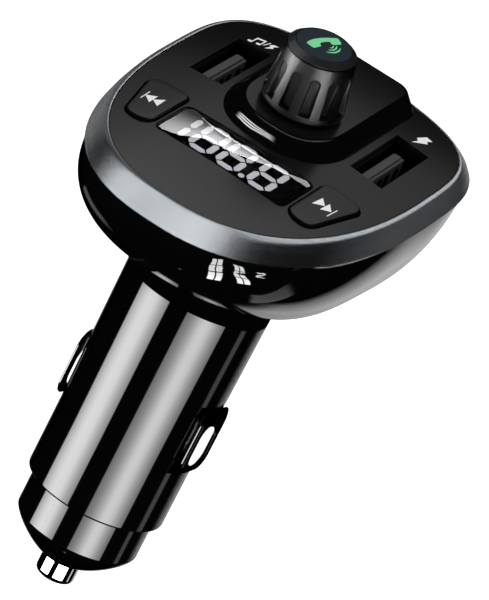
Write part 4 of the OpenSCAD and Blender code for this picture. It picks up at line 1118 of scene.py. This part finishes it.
@dataclass
class Knob:
    """The knob with its flutes, its cap, its slate disc and the lit call sign."""

    foot: float = 2.5
    foot_radius: float = 5.95
    seam: float = 11.07
    seam_radius: float = 4.94
    top: float = 11.92
    disc_radius: float = 3.9
    seam_inset: float = 0.12
    groove: float = 0.06
    cap_gap: float = 0.02
    seat_depth: float = 0.25
    disc_depth: float = 0.24
    edge: float = 0.25
    bore: float = 3.02
    bore_top: float = 8.7
    flutes: int = 12
    flute_half: float = 0.8
    flute_low: float = 3.55
    flute_high: float = 9.17
    flute_depth: float = 0.15
    flute_soft: float = 0.14
    handset: Outline = (
        (-1.72, 1.75), (-1.8, 2.5), (-1.66, 3.5), (-1.25, 4.65), (-0.66, 5.75), (0.02, 6.7),
        (0.3, 6.92), (1.2, 6.36), (1.33, 6.0), (0.78, 4.95), (0.48, 4.85), (0.08, 5.15), (-0.3, 4.55),
        (-0.56, 3.75), (-0.5, 3.38), (-0.06, 2.98), (-0.36, 1.75), (-0.62, 1.58),
    )
    thin_end: float = 0.1
    # Each wave: a middle, a radius, a width and two directions in degrees.
    waves: tuple[tuple[float, ...], ...] = (
        (0.35, 4.25, 0.72, 0.2, -38.0, 42.0), (0.2, 4.2, 1.32, 0.24, -52.0, 44.0),
        (0.05, 4.15, 2.0, 0.28, -58.0, 30.0),
    )

    def on_axis(self, r: Array, angle: Array, w: Array) -> Array:
        """Points at a radius, direction and level about the knob's axis."""
        return from_face(np.stack([r * np.cos(angle), KNOB_AT + r * np.sin(angle), w + 0 * r], -1))

    def body(self) -> Piece:
        """Builds the knob as a radius over direction and level.

        The cone's radius gives way to the flutes' upright flat floors, floor / cos(d) at a
        direction d from a flute's middle, by a soft step of the distance inside the flute's
        outline, which has a square foot and a round head.
        """
        lean = (self.foot_radius - self.seam_radius) / (self.seam - self.foot)
        cells = 32
        angle = (np.arange(self.flutes * cells) / cells * 2 * np.pi / self.flutes)[None, :]
        around = (angle + np.pi / self.flutes) % (2 * np.pi / self.flutes) - np.pi / self.flutes
        w = np.linspace(self.foot + self.edge, self.seam - self.edge / 2, 96)[:, None]
        cone = self.foot_radius - (w - self.foot - self.edge) * lean + 0 * angle
        floor = self.seam_radius + (self.seam - self.flute_high) * lean - self.flute_depth
        across = cone * np.sin(around)
        beyond = np.clip(w - (self.flute_high - self.flute_half), 0.0, None)
        inside = np.minimum(self.flute_half - np.hypot(across, beyond), w - self.flute_low)
        share = soft_step(inside, 0.0, self.flute_soft)
        r = cone + (np.minimum(floor / np.cos(around), cone) - cone) * share
        side = self.on_axis(r, angle + 0 * w, w)
        flat = np.ones_like(angle)
        rim, bore = self.foot_radius - self.edge, self.bore
        rows = [(bore, self.bore_top), (bore, self.foot), (rim, self.foot)]
        rows += [(rim + self.edge * 0.7, self.foot + self.edge * 0.3)]
        below = [self.on_axis(radius * flat, angle, level) for radius, level in rows]
        ends = [(self.seam_radius - self.edge / 4, self.seam - self.edge / 6)]
        ends += [(self.seam_radius - self.seam_inset, self.seam), (self.bore, self.seam)]
        above = [self.on_axis(radius * flat, angle, level) for radius, level in ends]
        return lofted("knob_body", np.concatenate([*below, side, *above]), True, 50.0)

    def cap_ring(self, corners: Sequence[Point]) -> Array:
        """Turns a filleted profile (r, w, fillet) about the knob's axis."""
        return from_face(turned(fillet(corners), 144) + np.array([0.0, KNOB_AT, 0.0]))

    def call_sign(self) -> Piece:
        """Prints a handset and three thin arcs, each a band about its own middle, on the disc."""
        outlines = [np.array(self.handset)]
        for u, v, radius, wide, first, last in self.waves:
            a = np.radians(np.linspace(first, last, 17))
            way = np.stack([np.cos(a), np.sin(a)], -1)
            swell = np.clip(np.sin(np.linspace(0, np.pi, 17)), self.thin_end, 1)
            taper = wide / 2 * np.sqrt(swell)[:, None]
            both = [way * (radius + taper), (way * (radius - taper))[::-1]]
            outlines.append(np.array([u, v]) + np.concatenate(both))
        return printed("call_sign", outlines, lambda p: np.full(len(p), self.top))

    def build(self) -> None:
        """Builds and dresses the knob."""
        groove, low, pole = self.disc_radius + self.groove, self.seam + self.cap_gap, self.cap_gap
        seat, foot = self.top - self.seat_depth, self.top - self.disc_depth
        rim, top = self.seam_radius - self.cap_gap, self.top - self.cap_gap
        chamfer = [(pole, low, 0.0), (self.seam_radius - 0.05, low, 0.08), (rim, low + 0.14, 0.1)]
        chamfer += [(groove + 0.1, top, 0.12), (groove, self.top - 0.05, 0.0)]
        chamfer += [(groove, seat, 0.0), (pole, seat, 0.0)]
        disc = [(pole, foot, 0.0), (self.disc_radius, foot, 0.0)]
        disc += [(self.disc_radius, self.top, 0.1), (pole, self.top, 0.0)]
        place(self.body(), "knob_set", Finishes.SATIN_BLACK, ["knob"])
        cap = lofted("cap_chamfer", self.cap_ring(chamfer), True)
        place(cap, "knob_set", Finishes.CAP_BLACK, ["knob_cap"])
        plate = lofted("cap_disc", self.cap_ring(disc), True)
        place(plate, "knob_set", Finishes.SLATE)
        place(self.call_sign(), "knob_set", Finishes.GREEN_LAMP)
        dress("encoder_shaft", Finishes.TINNED)
        dress("encoder_rotor", Finishes.INNER_BLACK)
        dress("encoder_body", Finishes.CAN)


# Ports


@dataclass
class Ports:
    """The two USB ports and their printed signs."""

    note_heads: Outline = ((-14.95, 14.85), (-13.7, 15.1))
    head_size: Flat = (0.38, 0.27)
    # Stem, beam and stem of the note; a stroke; and the two flashes.
    note: Outline = (
        (-14.75, 14.85), (-14.58, 14.85), (-14.5, 16.2), (-13.5, 16.45), (-13.5, 15.1), (-13.33, 15.1),
        (-13.3, 16.85), (-14.7, 16.55),
    )
    stroke: Outline = (
        (-13.14, 15.43), (-12.98, 15.43), (-12.6, 16.89), (-12.76, 16.89),
    )
    left_flash: Outline = (
        (-12.54, 14.86), (-11.59, 15.84), (-11.88, 16.14), (-11.35, 16.94), (-12.11, 16.85),
        (-12.5, 16.26), (-12.2, 16.0),
    )
    right_flash: Outline = (
        (12.83, 14.64), (14.53, 16.51), (14.11, 16.95), (14.63, 17.7), (13.56, 17.83), (12.8, 16.27),
        (13.25, 15.78),
    )

    def signs(self) -> Piece:
        """Prints the signs on the crowned face; a note's head is an ellipse."""
        a = np.linspace(0, 2 * np.pi, 17)[:-1]
        head = np.stack([np.cos(a), np.sin(a)], -1) * np.array(self.head_size)
        shapes = [head + np.array(middle) for middle in self.note_heads]
        signs = (self.note, self.stroke, self.left_flash, self.right_flash)
        shapes += [np.array(sign) for sign in signs]
        return printed("port_signs", shapes, lambda p: -crown_drop(p[:, 0]))

    def build(self) -> None:
        """Builds the signs and dresses the ports."""
        place(self.signs(), "housing", Finishes.WHITE_INK)
        for side in ("left", "right"):
            # The port shells' near-black nickel is painted shade of the recess.
            dress(f"usb_shell_{side}", Finishes.NICKEL_PAINTED_SHADE)
            dress(f"usb_tongue_{side}", Finishes.NYLON_GREY)
            dress(f"usb_contacts_{side}", Finishes.GOLD_CONTACT)


@dataclass
class Inside:
    """The boards and small parts inside."""

    plan: dict[Finishes, tuple[str, ...]] = field(
        default_factory=lambda: {
            Finishes.BOARD: ("ui_board", "power_board", "converter_board"),
            Finishes.EPOXY: ("board_header", "link_header", "regulator", "inductor"),
            Finishes.CAN: ("capacitor", "radio_module", "microphone"),
            Finishes.TINNED: ("screw_left", "screw_right", "screw_front"),
        }
    )

    def build(self) -> None:
        """Dresses each part."""
        for finish, nodes in self.plan.items():
            for node in nodes:
                dress(node, finish)


# Studio

# A span from a low to a high value, a gate of a rising and a falling span, and a dial: places
# with the cloth's glow at each, mostly directions with 0 at the front and 90 at the right.
Span = Flat
Gate = tuple[Span, Span]
Dial = tuple[Span, ...]
# Rows of a small sheet of cloth: the left and the right end of each row.
Rows = tuple[tuple[Point, Point], ...]


def read_dial(table: Dial, at: Array) -> Array:
    """Reads a dial along straight lines between its places."""
    return np.interp(at, *zip(*table))


def soft_gate(value: Array, gate: Gate) -> Array:
    """Rises from 0 to 1 over the gate's first span and falls back to 0 over its second."""
    return soft_step(value, *gate[0]) * (1 - soft_step(value, *gate[1]))


def elevation(z: Array, r: Array) -> Array:
    """Elevation in degrees, seen from the middle of the face."""
    return np.degrees(np.arctan2(z - FACE_HEIGHT, r))


@dataclass
class Studio:
    """Camera, floor, lamps and the shells of cloth that black gloss needs round it.

    Each shell is a round table, wall and dome about the plug's axis. The room is the outer one
    and black but for its soft rear edge. The others are thin veils inside it: each glows for
    the pieces it is meant for and lets every ray pass. None shows but in reflections.
    """

    camera_at: Point = (173.05, -499.50, 207.31)
    camera_turn: Point = (69.836, -25.778, 27.506)
    lens: float = 243.45
    sensor: float = 36.0
    world_light: float = 0.65
    floor_level: float = -85.0
    floor_half: float = 6000.0
    paper: float = 0.85
    floor_glow: float = 0.75
    lamp_size: Span = (0.5, 0.4)
    lamp_at: Point = (0.0, -0.15, 0.5)
    lamp_tilt: float = -15.0
    table_level: float = -84.0
    room_radius: float = 210.0
    wall_low: float = 60.0
    wall_top: float = 150.0
    strips: Dial = (
        (-65.0, 0.0), (-64.0, 6.5), (-55.0, 10.9), (-49.0, 13.6), (-43.0, 15.8), (-31.0, 15.8),
        (-25.0, 12.7), (-19.0, 9.3), (-13.0, 6.9), (-11.0, 6.2), (-10.0, 0.0), (19.0, 0.0), (20.0, 3.6),
        (28.9, 5.7), (34.9, 8.2), (40.9, 11.4), (46.9, 14.3), (52.9, 14.3), (58.9, 12.7), (64.9, 9.2),
        (70.9, 6.4), (76.9, 4.3), (80.0, 3.6), (81.0, 0.0), (110.0, 0.0), (113.0, 0.75), (119.0, 0.75),
        (122.0, 0.0),
    )
    rear: Dial = (
        (-180.0, 0.5), (-151.0, 0.49), (-145.0, 0.31), (-139.0, 0.09), (-133.0, 0.0), (144.0, 0.0),
        (150.0, 0.15), (157.0, 0.4), (165.0, 0.5), (173.0, 0.6), (180.0, 0.5),
    )
    round_bezel: Dial = (
        (-180.0, 0.4), (-165.0, 0.3), (-135.0, 0.2), (-121.0, 0.4), (-105.0, 0.35), (-91.0, 0.08),
        (-79.0, 0.1), (-66.0, 0.9), (-54.0, 2.4), (-37.0, 2.4), (-25.0, 2.1), (5.0, 2.8), (20.0, 2.7),
        (33.0, 1.8), (42.0, 0.6), (52.0, 0.18), (62.0, 0.03), (100.0, 0.02), (116.0, 0.15),
        (129.0, 0.24), (140.0, 0.2), (155.0, 0.08), (180.0, 0.4),
    )
    round_bowl: Dial = (
        (-180.0, 0.65), (-172.0, 0.5), (-166.0, 0.0), (149.0, 0.0), (152.0, 0.25), (157.0, 0.7),
        (165.0, 0.9), (173.0, 0.95), (180.0, 0.65),
    )
    round_knob: Dial = (
        (-100.0, 0.0), (-80.0, 2.5), (-65.0, 13.0), (-50.0, 13.0), (-38.0, 3.0), (-28.0, 1.2),
        (0.0, 1.0), (24.0, 1.4), (36.0, 3.4), (50.0, 8.0), (62.0, 10.0), (72.0, 5.0), (84.0, 1.0),
        (94.0, 0.0),
    )
    window: Rows = (
        ((21.2, -43.6, 63.5), (23.4, -39.9, 65.5)), ((26.0, -43.1, 34.7), (31.1, -42.0, 44.1)),
        ((21.5, -33.7, 24.4), (28.9, -33.6, 29.7)), ((14.2, -22.0, 20.3), (19.9, -21.4, 21.8)),
    )
    second_window: Rows = (
        ((30.5, -40.4, 57.0), (35.4, -36.3, 49.7)), ((33.1, -33.2, 35.1), (35.0, -28.0, 34.9)),
        ((30.6, -27.7, 29.0), (32.9, -22.4, 30.3)), ((25.5, -19.6, 24.4), (28.7, -16.4, 26.5)),
    )
    far_window: Rows = (
        ((36.7, -25.2, 36.7), (37.0, -21.2, 36.3)),
        ((36.5, -22.5, 35.1), (36.8, -18.7, 35.1)),
    )
    pleats: Rows = (
        ((16.2, -4.1, 23.0), (22.5, -10.5, 23.7)), ((19.8, -2.2, 24.3), (25.3, -7.8, 25.5)),
        ((24.8, -0.8, 26.7), (30.2, -7.3, 28.9)), ((29.8, -0.2, 30.5), (36.3, -8.3, 35.2)),
    )
    tubes: Rows = (
        ((-20.7, -8.1, 70.5), (-20.9, -7.0, 70.9)), ((-14.1, -14.2, 72.4), (-14.8, -13.1, 73.1)),
        ((-8.0, -16.7, 73.5), (-8.1, -16.2, 74.2)), ((-0.3, -17.4, 74.4), (-0.8, -16.9, 75.0)),
    )
    # The spans of height, distance, direction or elevation over which each light comes and goes.
    strips_top: Span = (-38.0, -33.0)
    strips_foot: Span = (135.0, 145.0)
    rim: Span = (95.0, 135.0)
    room_top: Span = (0.0, 60.0)
    bowl_top: Span = (10.0, 70.0)
    left_turn: Gate = ((-132.0, -122.0), (-114.0, -106.0))
    left_reach: Span = (90.0, 110.0)
    left_height: float = 4.0
    left_glow: float = 0.3
    overhead: Gate = ((60.0, 66.0), (74.0, 82.0))
    overhead_glow: float = 1.3
    rear_from: Span = (35.0, 70.0)
    rear_to: Span = (-165.0, -145.0)
    rear_rise: Span = (29.0, 42.0)
    rear_glow: float = 1.7
    high_turn: Gate = ((-100.0, -85.0), (-50.0, -35.0))
    high_rise: Gate = ((28.0, 36.0), (52.0, 60.0))
    high_glow: float = 2.0
    knob_top: Span = (-14.0, -2.0)
    knob_foot: Span = (130.0, 150.0)
    plate_glow: float = 1.4
    pane_half: Span = (0.4, 0.42)
    window_glow: float = 16.0
    # Each wave of the pleats: its strength and its turns across and along.
    pleat_waves: tuple[Point, ...] = ((0.3, 37.0, 1.7), (0.2, 83.0, -2.3))
    pleat_glow: float = 0.45
    pleat_ends: Gate = ((0.0, 0.5), (2.4, 3.0))
    pleat_side: Span = (0.0, 0.1)
    tube_ends: Gate = ((0.0, 0.4), (2.5, 3.0))
    tube_half: float = 0.2
    tube_glow: float = 24.0
    # The face's card: its glow up and across the face, and its slanting rear edge.
    card_lift: float = 20.0
    card_u: Span = (-34.0, 30.0)
    card_v: Span = (-46.0, 30.0)
    card_along: Dial = ((-46, 0.85), (-28, 0.8), (-22, 0.68), (-18, 0.58), (-8, 0.46), (30, 0.44))
    card_across: Dial = ((-34, 0.4), (-20, 0.5), (-14, 0.6), (-8, 1.0))
    card_rear: Span = (8.5, 0.32)
    card_fade: float = 4.0
    # The window's card: its front edge, and its glow along the front and along the rear.
    glare_lift: float = 4.0
    glare_half: float = 10.7
    glare_rear: float = -7.8
    glare_edge: Dial = (
        (-10.7, -16.6), (-9.98, -16.5), (-7.27, -15.65), (-4.34, -12.89), (-0.87, -12.62),
        (2.85, -10.62), (7.23, -9.57), (10.32, -9.35), (10.7, -9.3),
    )
    glare_bright: Dial = ((-10.7, 4.5), (-8, 6.0), (-2, 9.5), (4, 7.0), (10.7, 3.2))
    glare_dim: Dial = ((-10.7, 0.3), (-6, 0.4), (-1, 2.2), (4, 3.2), (10.7, 4.4))
    line_glow: float = 7.0
    line_share: Span = (0.84, 0.93)
    line_u: Span = (-7.5, 4.0)

    def camera(self) -> None:
        """Sets the camera at the photograph's angle."""
        data = bpy.data.cameras.new("view")
        data.lens, data.sensor_width, data.clip_start = self.lens, self.sensor, 0.01
        eye = bpy.data.objects.new("view", data)
        eye.location = [a * MM for a in self.camera_at]
        eye.rotation_euler = Euler([math.radians(a) for a in self.camera_turn], "XYZ")
        bpy.context.scene.collection.objects.link(eye)
        bpy.context.scene.camera = eye

    def seen(self, tree: bpy.types.NodeTree) -> bpy.types.NodeSocket:
        """1 for camera, glossy and transmission rays, and 0 for the rest."""
        path = add(tree, "ShaderNodeLightPath").outputs
        larger, seen = {"operation": "MAXIMUM"}, path["Is Camera Ray"]
        for ray in ("Is Glossy Ray", "Is Transmission Ray"):
            seen = add(tree, "ShaderNodeMath", larger, i0=seen, i1=path[ray]).outputs[0]
        return seen

    def world(self) -> None:
        """Lights all round softly; the background is white to the camera and in reflections."""
        world = bpy.data.worlds.new("soft_room")
        world.use_nodes = True
        tree = world.node_tree
        tree.nodes.clear()
        out = tree.nodes.new("ShaderNodeOutputWorld")
        soft = add(tree, "ShaderNodeBackground", {"Color": (1, 1, 1, 1), "Strength": self.world_light})
        white = add(tree, "ShaderNodeBackground", {"Color": (1, 1, 1, 1), "Strength": 1.0})
        seen = self.seen(tree)
        mixed = add(tree, "ShaderNodeMixShader", i0=seen, i1=soft.outputs[0], i2=white.outputs[0])
        tree.links.new(mixed.outputs[0], out.inputs["Surface"])
        world.cycles.sampling_method = "NONE"
        bpy.context.scene.world = world

    def floor(self) -> None:
        """Lays the white floor, bright to the camera and in reflections, with soft shadows."""
        corners = np.array([[-1, -1], [1, -1], [1, 1], [-1, 1]]) * self.floor_half
        floor = make_piece("floor", np.insert(corners, 2, self.floor_level, axis=1), [[0, 1, 2, 3]])
        material, tree, out = fresh("white_paper")
        paper = add(tree, "ShaderNodeBsdfDiffuse", {"Color": (self.paper, self.paper, self.paper, 1)})
        glow = add(tree, "ShaderNodeEmission", {"Color": (1, 1, 1, 1), "Strength": self.floor_glow})
        lit = add(tree, "ShaderNodeAddShader", i0=paper.outputs[0], i1=glow.outputs[0])
        seen = self.seen(tree)
        mixed = add(tree, "ShaderNodeMixShader", i0=seen, i1=paper.outputs[0], i2=lit.outputs[0])
        tree.links.new(mixed.outputs[0], out.inputs["Surface"])
        floor.data.materials.append(material)

    def cloth(self, veil: bool) -> bpy.types.Material:
        """Lamp cloth that glows as its mesh's glow attribute says; a veil also lets rays pass."""
        name = "lamp_veil" if veil else "lamp_cloth"
        if name in bpy.data.materials:
            return bpy.data.materials[name]
        material, tree, out = fresh(name)
        material.cycles.emission_sampling = "NONE"
        glow = add(tree, "ShaderNodeAttribute", {"attribute_name": "glow"})
        light = add(tree, "ShaderNodeEmission", {"Color": (1, 1, 1, 1)}, Strength=glow.outputs["Fac"])
        if veil:
            clear = add(tree, "ShaderNodeBsdfTransparent")
            light = add(tree, "ShaderNodeAddShader", i0=light.outputs[0], i1=clear.outputs[0])
        tree.links.new(light.outputs[0], out.inputs["Surface"])
        return material

    def hang(
        self,
        name: str,
        grid: Array,
        glow: Array,
        shows_in: Sequence[Piece],
        shell: bool = False,
        veil: bool = True,
    ) -> None:
        """Hangs a sheet of lamp cloth that shows only in reflections.

        Args:
            name: Name of the sheet.
            grid: Grid of its points (rows, columns, 3) in the part's frame.
            glow: How brightly it glows at each point.
            shows_in: The pieces that reflect its glow.
            shell: Whether its columns close on themselves.
            veil: Whether rays pass through it.
        """
        mesh = bpy.data.meshes.new(name)
        faces = band_faces(*grid.shape[:2], close_columns=shell)
        mesh.from_pydata((grid.reshape(-1, 3) * MM).tolist(), [], faces.tolist())
        values = glow.reshape(-1).astype(np.float32)
        mesh.attributes.new("glow", "FLOAT", "POINT").data.foreach_set("value", values)
        mesh.materials.append(self.cloth(veil))
        sheet = bpy.data.objects.new(name, mesh)
        bpy.context.scene.collection.objects.link(sheet)
        sheet.visible_camera = sheet.visible_diffuse = False
        sheet.visible_shadow = sheet.visible_transmission = False
        group = bpy.data.collections.new(f"{name}_shows_in")
        for piece in shows_in:
            group.objects.link(piece)
        sheet.light_linking.receiver_collection = group

    def shell(
        self, name: str, inside: float, glow: Callable[..., Array], shows_in: Sequence[Piece]
    ) -> None:
        """Sets up a shell: rows over the table, up the wall and over the dome.

        Args:
            name: Name of the shell.
            inside: How far it stands inside the room; the room itself lets no ray pass.
            glow: Gives the glow from direction, height and distance from the axis.
            shows_in: The pieces that reflect it.
        """
        radius, low = self.room_radius - inside, self.table_level + inside
        turn = np.arange(-180.0, 180.0, 1.0)[None, :]
        reach = np.linspace(2, radius, 22)
        lower = np.linspace(low, low + self.wall_low, 24)[1:]
        upper = np.linspace(low + self.wall_low, self.wall_top, 16)[1:]
        height = np.concatenate([lower, upper])
        rise = np.radians(np.linspace(0, 88, 23)[1:])
        r = np.concatenate([reach, np.full_like(height, radius), radius * np.cos(rise)])[:, None]
        dome = self.wall_top + radius * np.sin(rise)
        z = np.concatenate([np.full_like(reach, low), height, dome])[:, None]
        a = np.radians(turn)
        grid = np.stack([r * np.sin(a), -r * np.cos(a), z + 0 * a], -1)
        self.hang(name, grid, glow(turn, z, r) + 0 * (r + turn), shows_in, True, inside > 0)

    def strip_glow(self, turn: Array, z: Array, r: Array) -> Array:
        """The two long lamps on the lower wall, which run on over the table's edge."""
        lamps = read_dial(self.strips, turn)
        return lamps * (1 - soft_step(z, *self.strips_top)) * soft_step(r, *self.strips_foot)

    def room_glow(self, turn: Array, z: Array, r: Array) -> Array:
        """A dim rear edge on the wall and on the table's rim."""
        rear = read_dial(self.rear, turn)
        return rear * soft_step(r, *self.rim) * (1 - soft_step(z, *self.room_top))

    def bowl_glow(self, turn: Array, z: Array, r: Array) -> Array:
        """The pale floor behind: it meets the bowl's lower right side at a glancing angle."""
        rear = read_dial(self.round_bowl, turn)
        edge = rear * soft_step(r, *self.rim) * (1 - soft_step(z, *self.bowl_top))
        left = soft_gate(turn, self.left_turn) * soft_step(r, *self.left_reach)
        return edge + self.left_glow * left * (z <= self.table_level + self.left_height)

    def plinth_glow(self, turn: Array, z: Array, r: Array) -> Array:
        """A band high over the part that only the plinth's rounded edges mirror."""
        return self.overhead_glow * soft_gate(elevation(z, r), self.overhead) + 0 * turn

    def bezel_glow(self, turn: Array, z: Array, r: Array) -> Array:
        """Bright at the front left, dim at the right, and soft overhead at the rear right."""
        rear = np.maximum(soft_step(turn, *self.rear_from), 1 - soft_step(turn, *self.rear_to))
        high = self.rear_glow * rear * soft_step(elevation(z, r), *self.rear_rise)
        return read_dial(self.round_bezel, turn) + high

    def knob_glow(self, turn: Array, z: Array, r: Array) -> Array:
        """Two bands on the lower wall and a soft light high at the left."""
        up = elevation(z, r)
        high = self.high_glow * soft_gate(turn, self.high_turn) * soft_gate(up, self.high_rise)
        low = (1 - soft_step(up, *self.knob_top)) * soft_step(r, *self.knob_foot)
        return read_dial(self.round_knob, turn) * low + high

    def plate_light(self, turn: Array, z: Array, r: Array) -> Array:
        """An even glow all round for the clip's polished plate."""
        return np.full_like(turn, self.plate_glow)

    def shells(self) -> None:
        """Sets up the room and the veils; the strips' veil is the innermost."""
        piece = bpy.data.objects
        barrel = [piece["sleeve_skin"], piece["nose_skin"], piece["pin_skin"]]
        clips = [piece[f"clip_ring_{word}"] for word in ("left", "right")]
        knob = [piece["knob_body"], piece["cap_chamfer"], piece["cap_disc"]]
        for name, inside, glow, shows_in in (
            ("room", 0.0, self.room_glow, barrel),
            ("strip_veil", 3.5, self.strip_glow, [*barrel, *clips]),
            ("bezel_veil", 1.0, self.bezel_glow, [piece["bezel_band"]]),
            ("knob_veil", 1.5, self.knob_glow, knob),
            ("bowl_veil", 2.0, self.bowl_glow, [piece["bowl_skin"]]),
            ("plinth_veil", 2.5, self.plinth_glow, [piece["plinth_body"]]),
            ("floor_veil", 3.0, self.plate_light, [piece["clip_floor"]]),
        ):
            self.shell(name, inside, glow, shows_in)

    def sheet(self, rows: Rows, along: int, across: int) -> tuple[Array, Array, Array]:
        """Fills a small sheet between its rows, on the polynomial through their ends.

        Args:
            rows: The ends of each row.
            along: Number of points along the sheet.
            across: Number of points across.

        Returns:
            The grid of points, the place along in rows, and the share across from 0 to 1.
        """
        table = np.array(rows)
        s = np.linspace(0, len(rows) - 1, along)
        fits = np.polyfit(np.arange(len(rows)), table.reshape(len(rows), -1), len(rows) - 1)
        left, right = np.split(sum(f * s[:, None] ** k for k, f in enumerate(fits[::-1])), 2, axis=1)
        left, right = left[:, None], right[:, None]
        t = np.linspace(0, 1, across)
        return left + (right - left) * t[None, :, None], s[:, None], t[None, :]

    def windows(self) -> None:
        """Hangs two tall windows of two by three panes, a far one and a curtain, for the bowl."""
        bowl, (wide, tall) = [bpy.data.objects["bowl_skin"]], self.pane_half
        for name in ("window", "second_window", "far_window"):
            grid, s, t = self.sheet(getattr(self, name), 61, 31)
            panes = (np.abs((2 * t) % 1 - 0.5) < wide) & (np.abs(s % 1 - 0.5) < tall)
            self.hang(name, grid, self.window_glow * panes, bowl)
        grid, s, t = self.sheet(self.pleats, 61, 61)
        folds = self.pleat_glow + sum(
            size * np.sin(t * across + s * along) for size, across, along in self.pleat_waves
        )
        ends = soft_gate(s, self.pleat_ends) * soft_step(t, *self.pleat_side)
        self.hang("curtain", grid, folds * ends, bowl)

    def streaks(self) -> None:
        """Hangs three thin tubes side by side, for the plinth's front left facet."""
        grid, s, t = self.sheet(self.tubes, 61, 61)
        lit = np.abs((3 * t) % 1 - 0.5) < self.tube_half
        glow = self.tube_glow * lit * soft_gate(s, self.tube_ends)
        self.hang("tubes", grid, glow, [bpy.data.objects["plinth_body"]])

    def reflected(self, u: Array, v: Array, lift: float) -> Array:
        """Where the mirror image of the camera's rays off the crowned face meets a level.

        Args:
            u: Places across the face.
            v: Places up the face.
            lift: Height of the level over the face.

        Returns:
            Points p + r s, where r = 2 (n.c) n - c is the way in which the ray to the camera
            turns at the face's normal n, and s takes it up by lift.
        """
        point = from_face(on_face(np.stack([u, v], -1), 0.0))
        lean = u / CROWN_RADIUS
        normal = turn_from_face(np.stack([lean, 0 * u, np.sqrt(1 - lean**2)], -1))
        way = np.array(self.camera_at) - point
        way = way / np.linalg.norm(way, axis=-1, keepdims=True)
        mirror = 2 * (way * normal).sum(-1, keepdims=True) * normal - way
        up = turn_from_face(np.array([0.0, 0.0, 1.0]))
        return point + mirror * (lift / (mirror @ up))[..., None]

    def face_card(self) -> None:
        """Hangs a soft card over the face for its satin sheen; it is dim to the left and rear."""
        u, v = np.meshgrid(np.linspace(*self.card_u, 65), np.linspace(*self.card_v, 77))
        at, slant = self.card_rear
        fade = 1 - soft_step(v - (at + slant * u), -self.card_fade, self.card_fade)
        glow = read_dial(self.card_along, v) * fade * read_dial(self.card_across, u)
        satin = [FRAME["nodes"][node] for node in ("face_plate", "plinth_pad")]
        satin += [bpy.data.objects[f"{word}_key_cap"] for word in ("prev", "next")]
        self.hang("face_card", self.reflected(u, v, self.card_lift), glow, satin)

    def glare_card(self) -> None:
        """Hangs the window's glare: brightest along its front edge, with a thin rear line."""
        across = np.linspace(-self.glare_half, self.glare_half, 44)
        u, share = np.meshgrid(across, np.linspace(0, 1, 29))
        front = read_dial(self.glare_edge, u)
        v = front + (self.glare_rear - front) * share
        bright, dim = read_dial(self.glare_bright, u), read_dial(self.glare_dim, u)
        (first, last), (left, right) = self.line_share, self.line_u
        line = self.line_glow * (share > first) * (share < last) * (u > left) * (u < right)
        glare = bright + (dim - bright) * soft_step(share, 0.0, 0.9) + line
        window = [bpy.data.objects["display_window"]]
        self.hang("glare_card", self.reflected(u, v, self.glare_lift), glare, window)

    def top_lamp(self) -> None:
        """Hangs a soft lamp over the front of the part; it lights, and doesn't show in gloss."""
        data = bpy.data.lights.new("top_lamp", "AREA")
        data.shape, data.energy = "RECTANGLE", 1.0
        data.size, data.size_y = self.lamp_size
        lamp = bpy.data.objects.new("top_lamp", data)
        lamp.location = self.lamp_at
        lamp.rotation_euler = Euler((math.radians(self.lamp_tilt), 0, 0))
        lamp.visible_glossy = False
        bpy.context.scene.collection.objects.link(lamp)

    def build(self) -> None:
        """Sets up the whole studio."""
        bpy.context.scene.view_settings.view_transform = "Standard"
        self.camera()
        self.world()
        self.floor()
        self.shells()
        self.windows()
        self.streaks()
        self.face_card()
        self.glare_card()
        self.top_lamp()


FRAME: dict[str, Any] = {}


def main() -> None:
    """Loads the frame and builds every piece."""
    logging.basicConfig(level=logging.INFO, format="%(name)s: %(message)s")
    FRAME.update(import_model())
    keys = Key(True), Key(False)
    for group in (Barrel(), Head(), Display(), *keys, Knob(), Ports(), Inside(), Studio()):
        group.build()
        LOG.info("built %s", type(group).__name__)


if __name__ == "__main__":
    main()
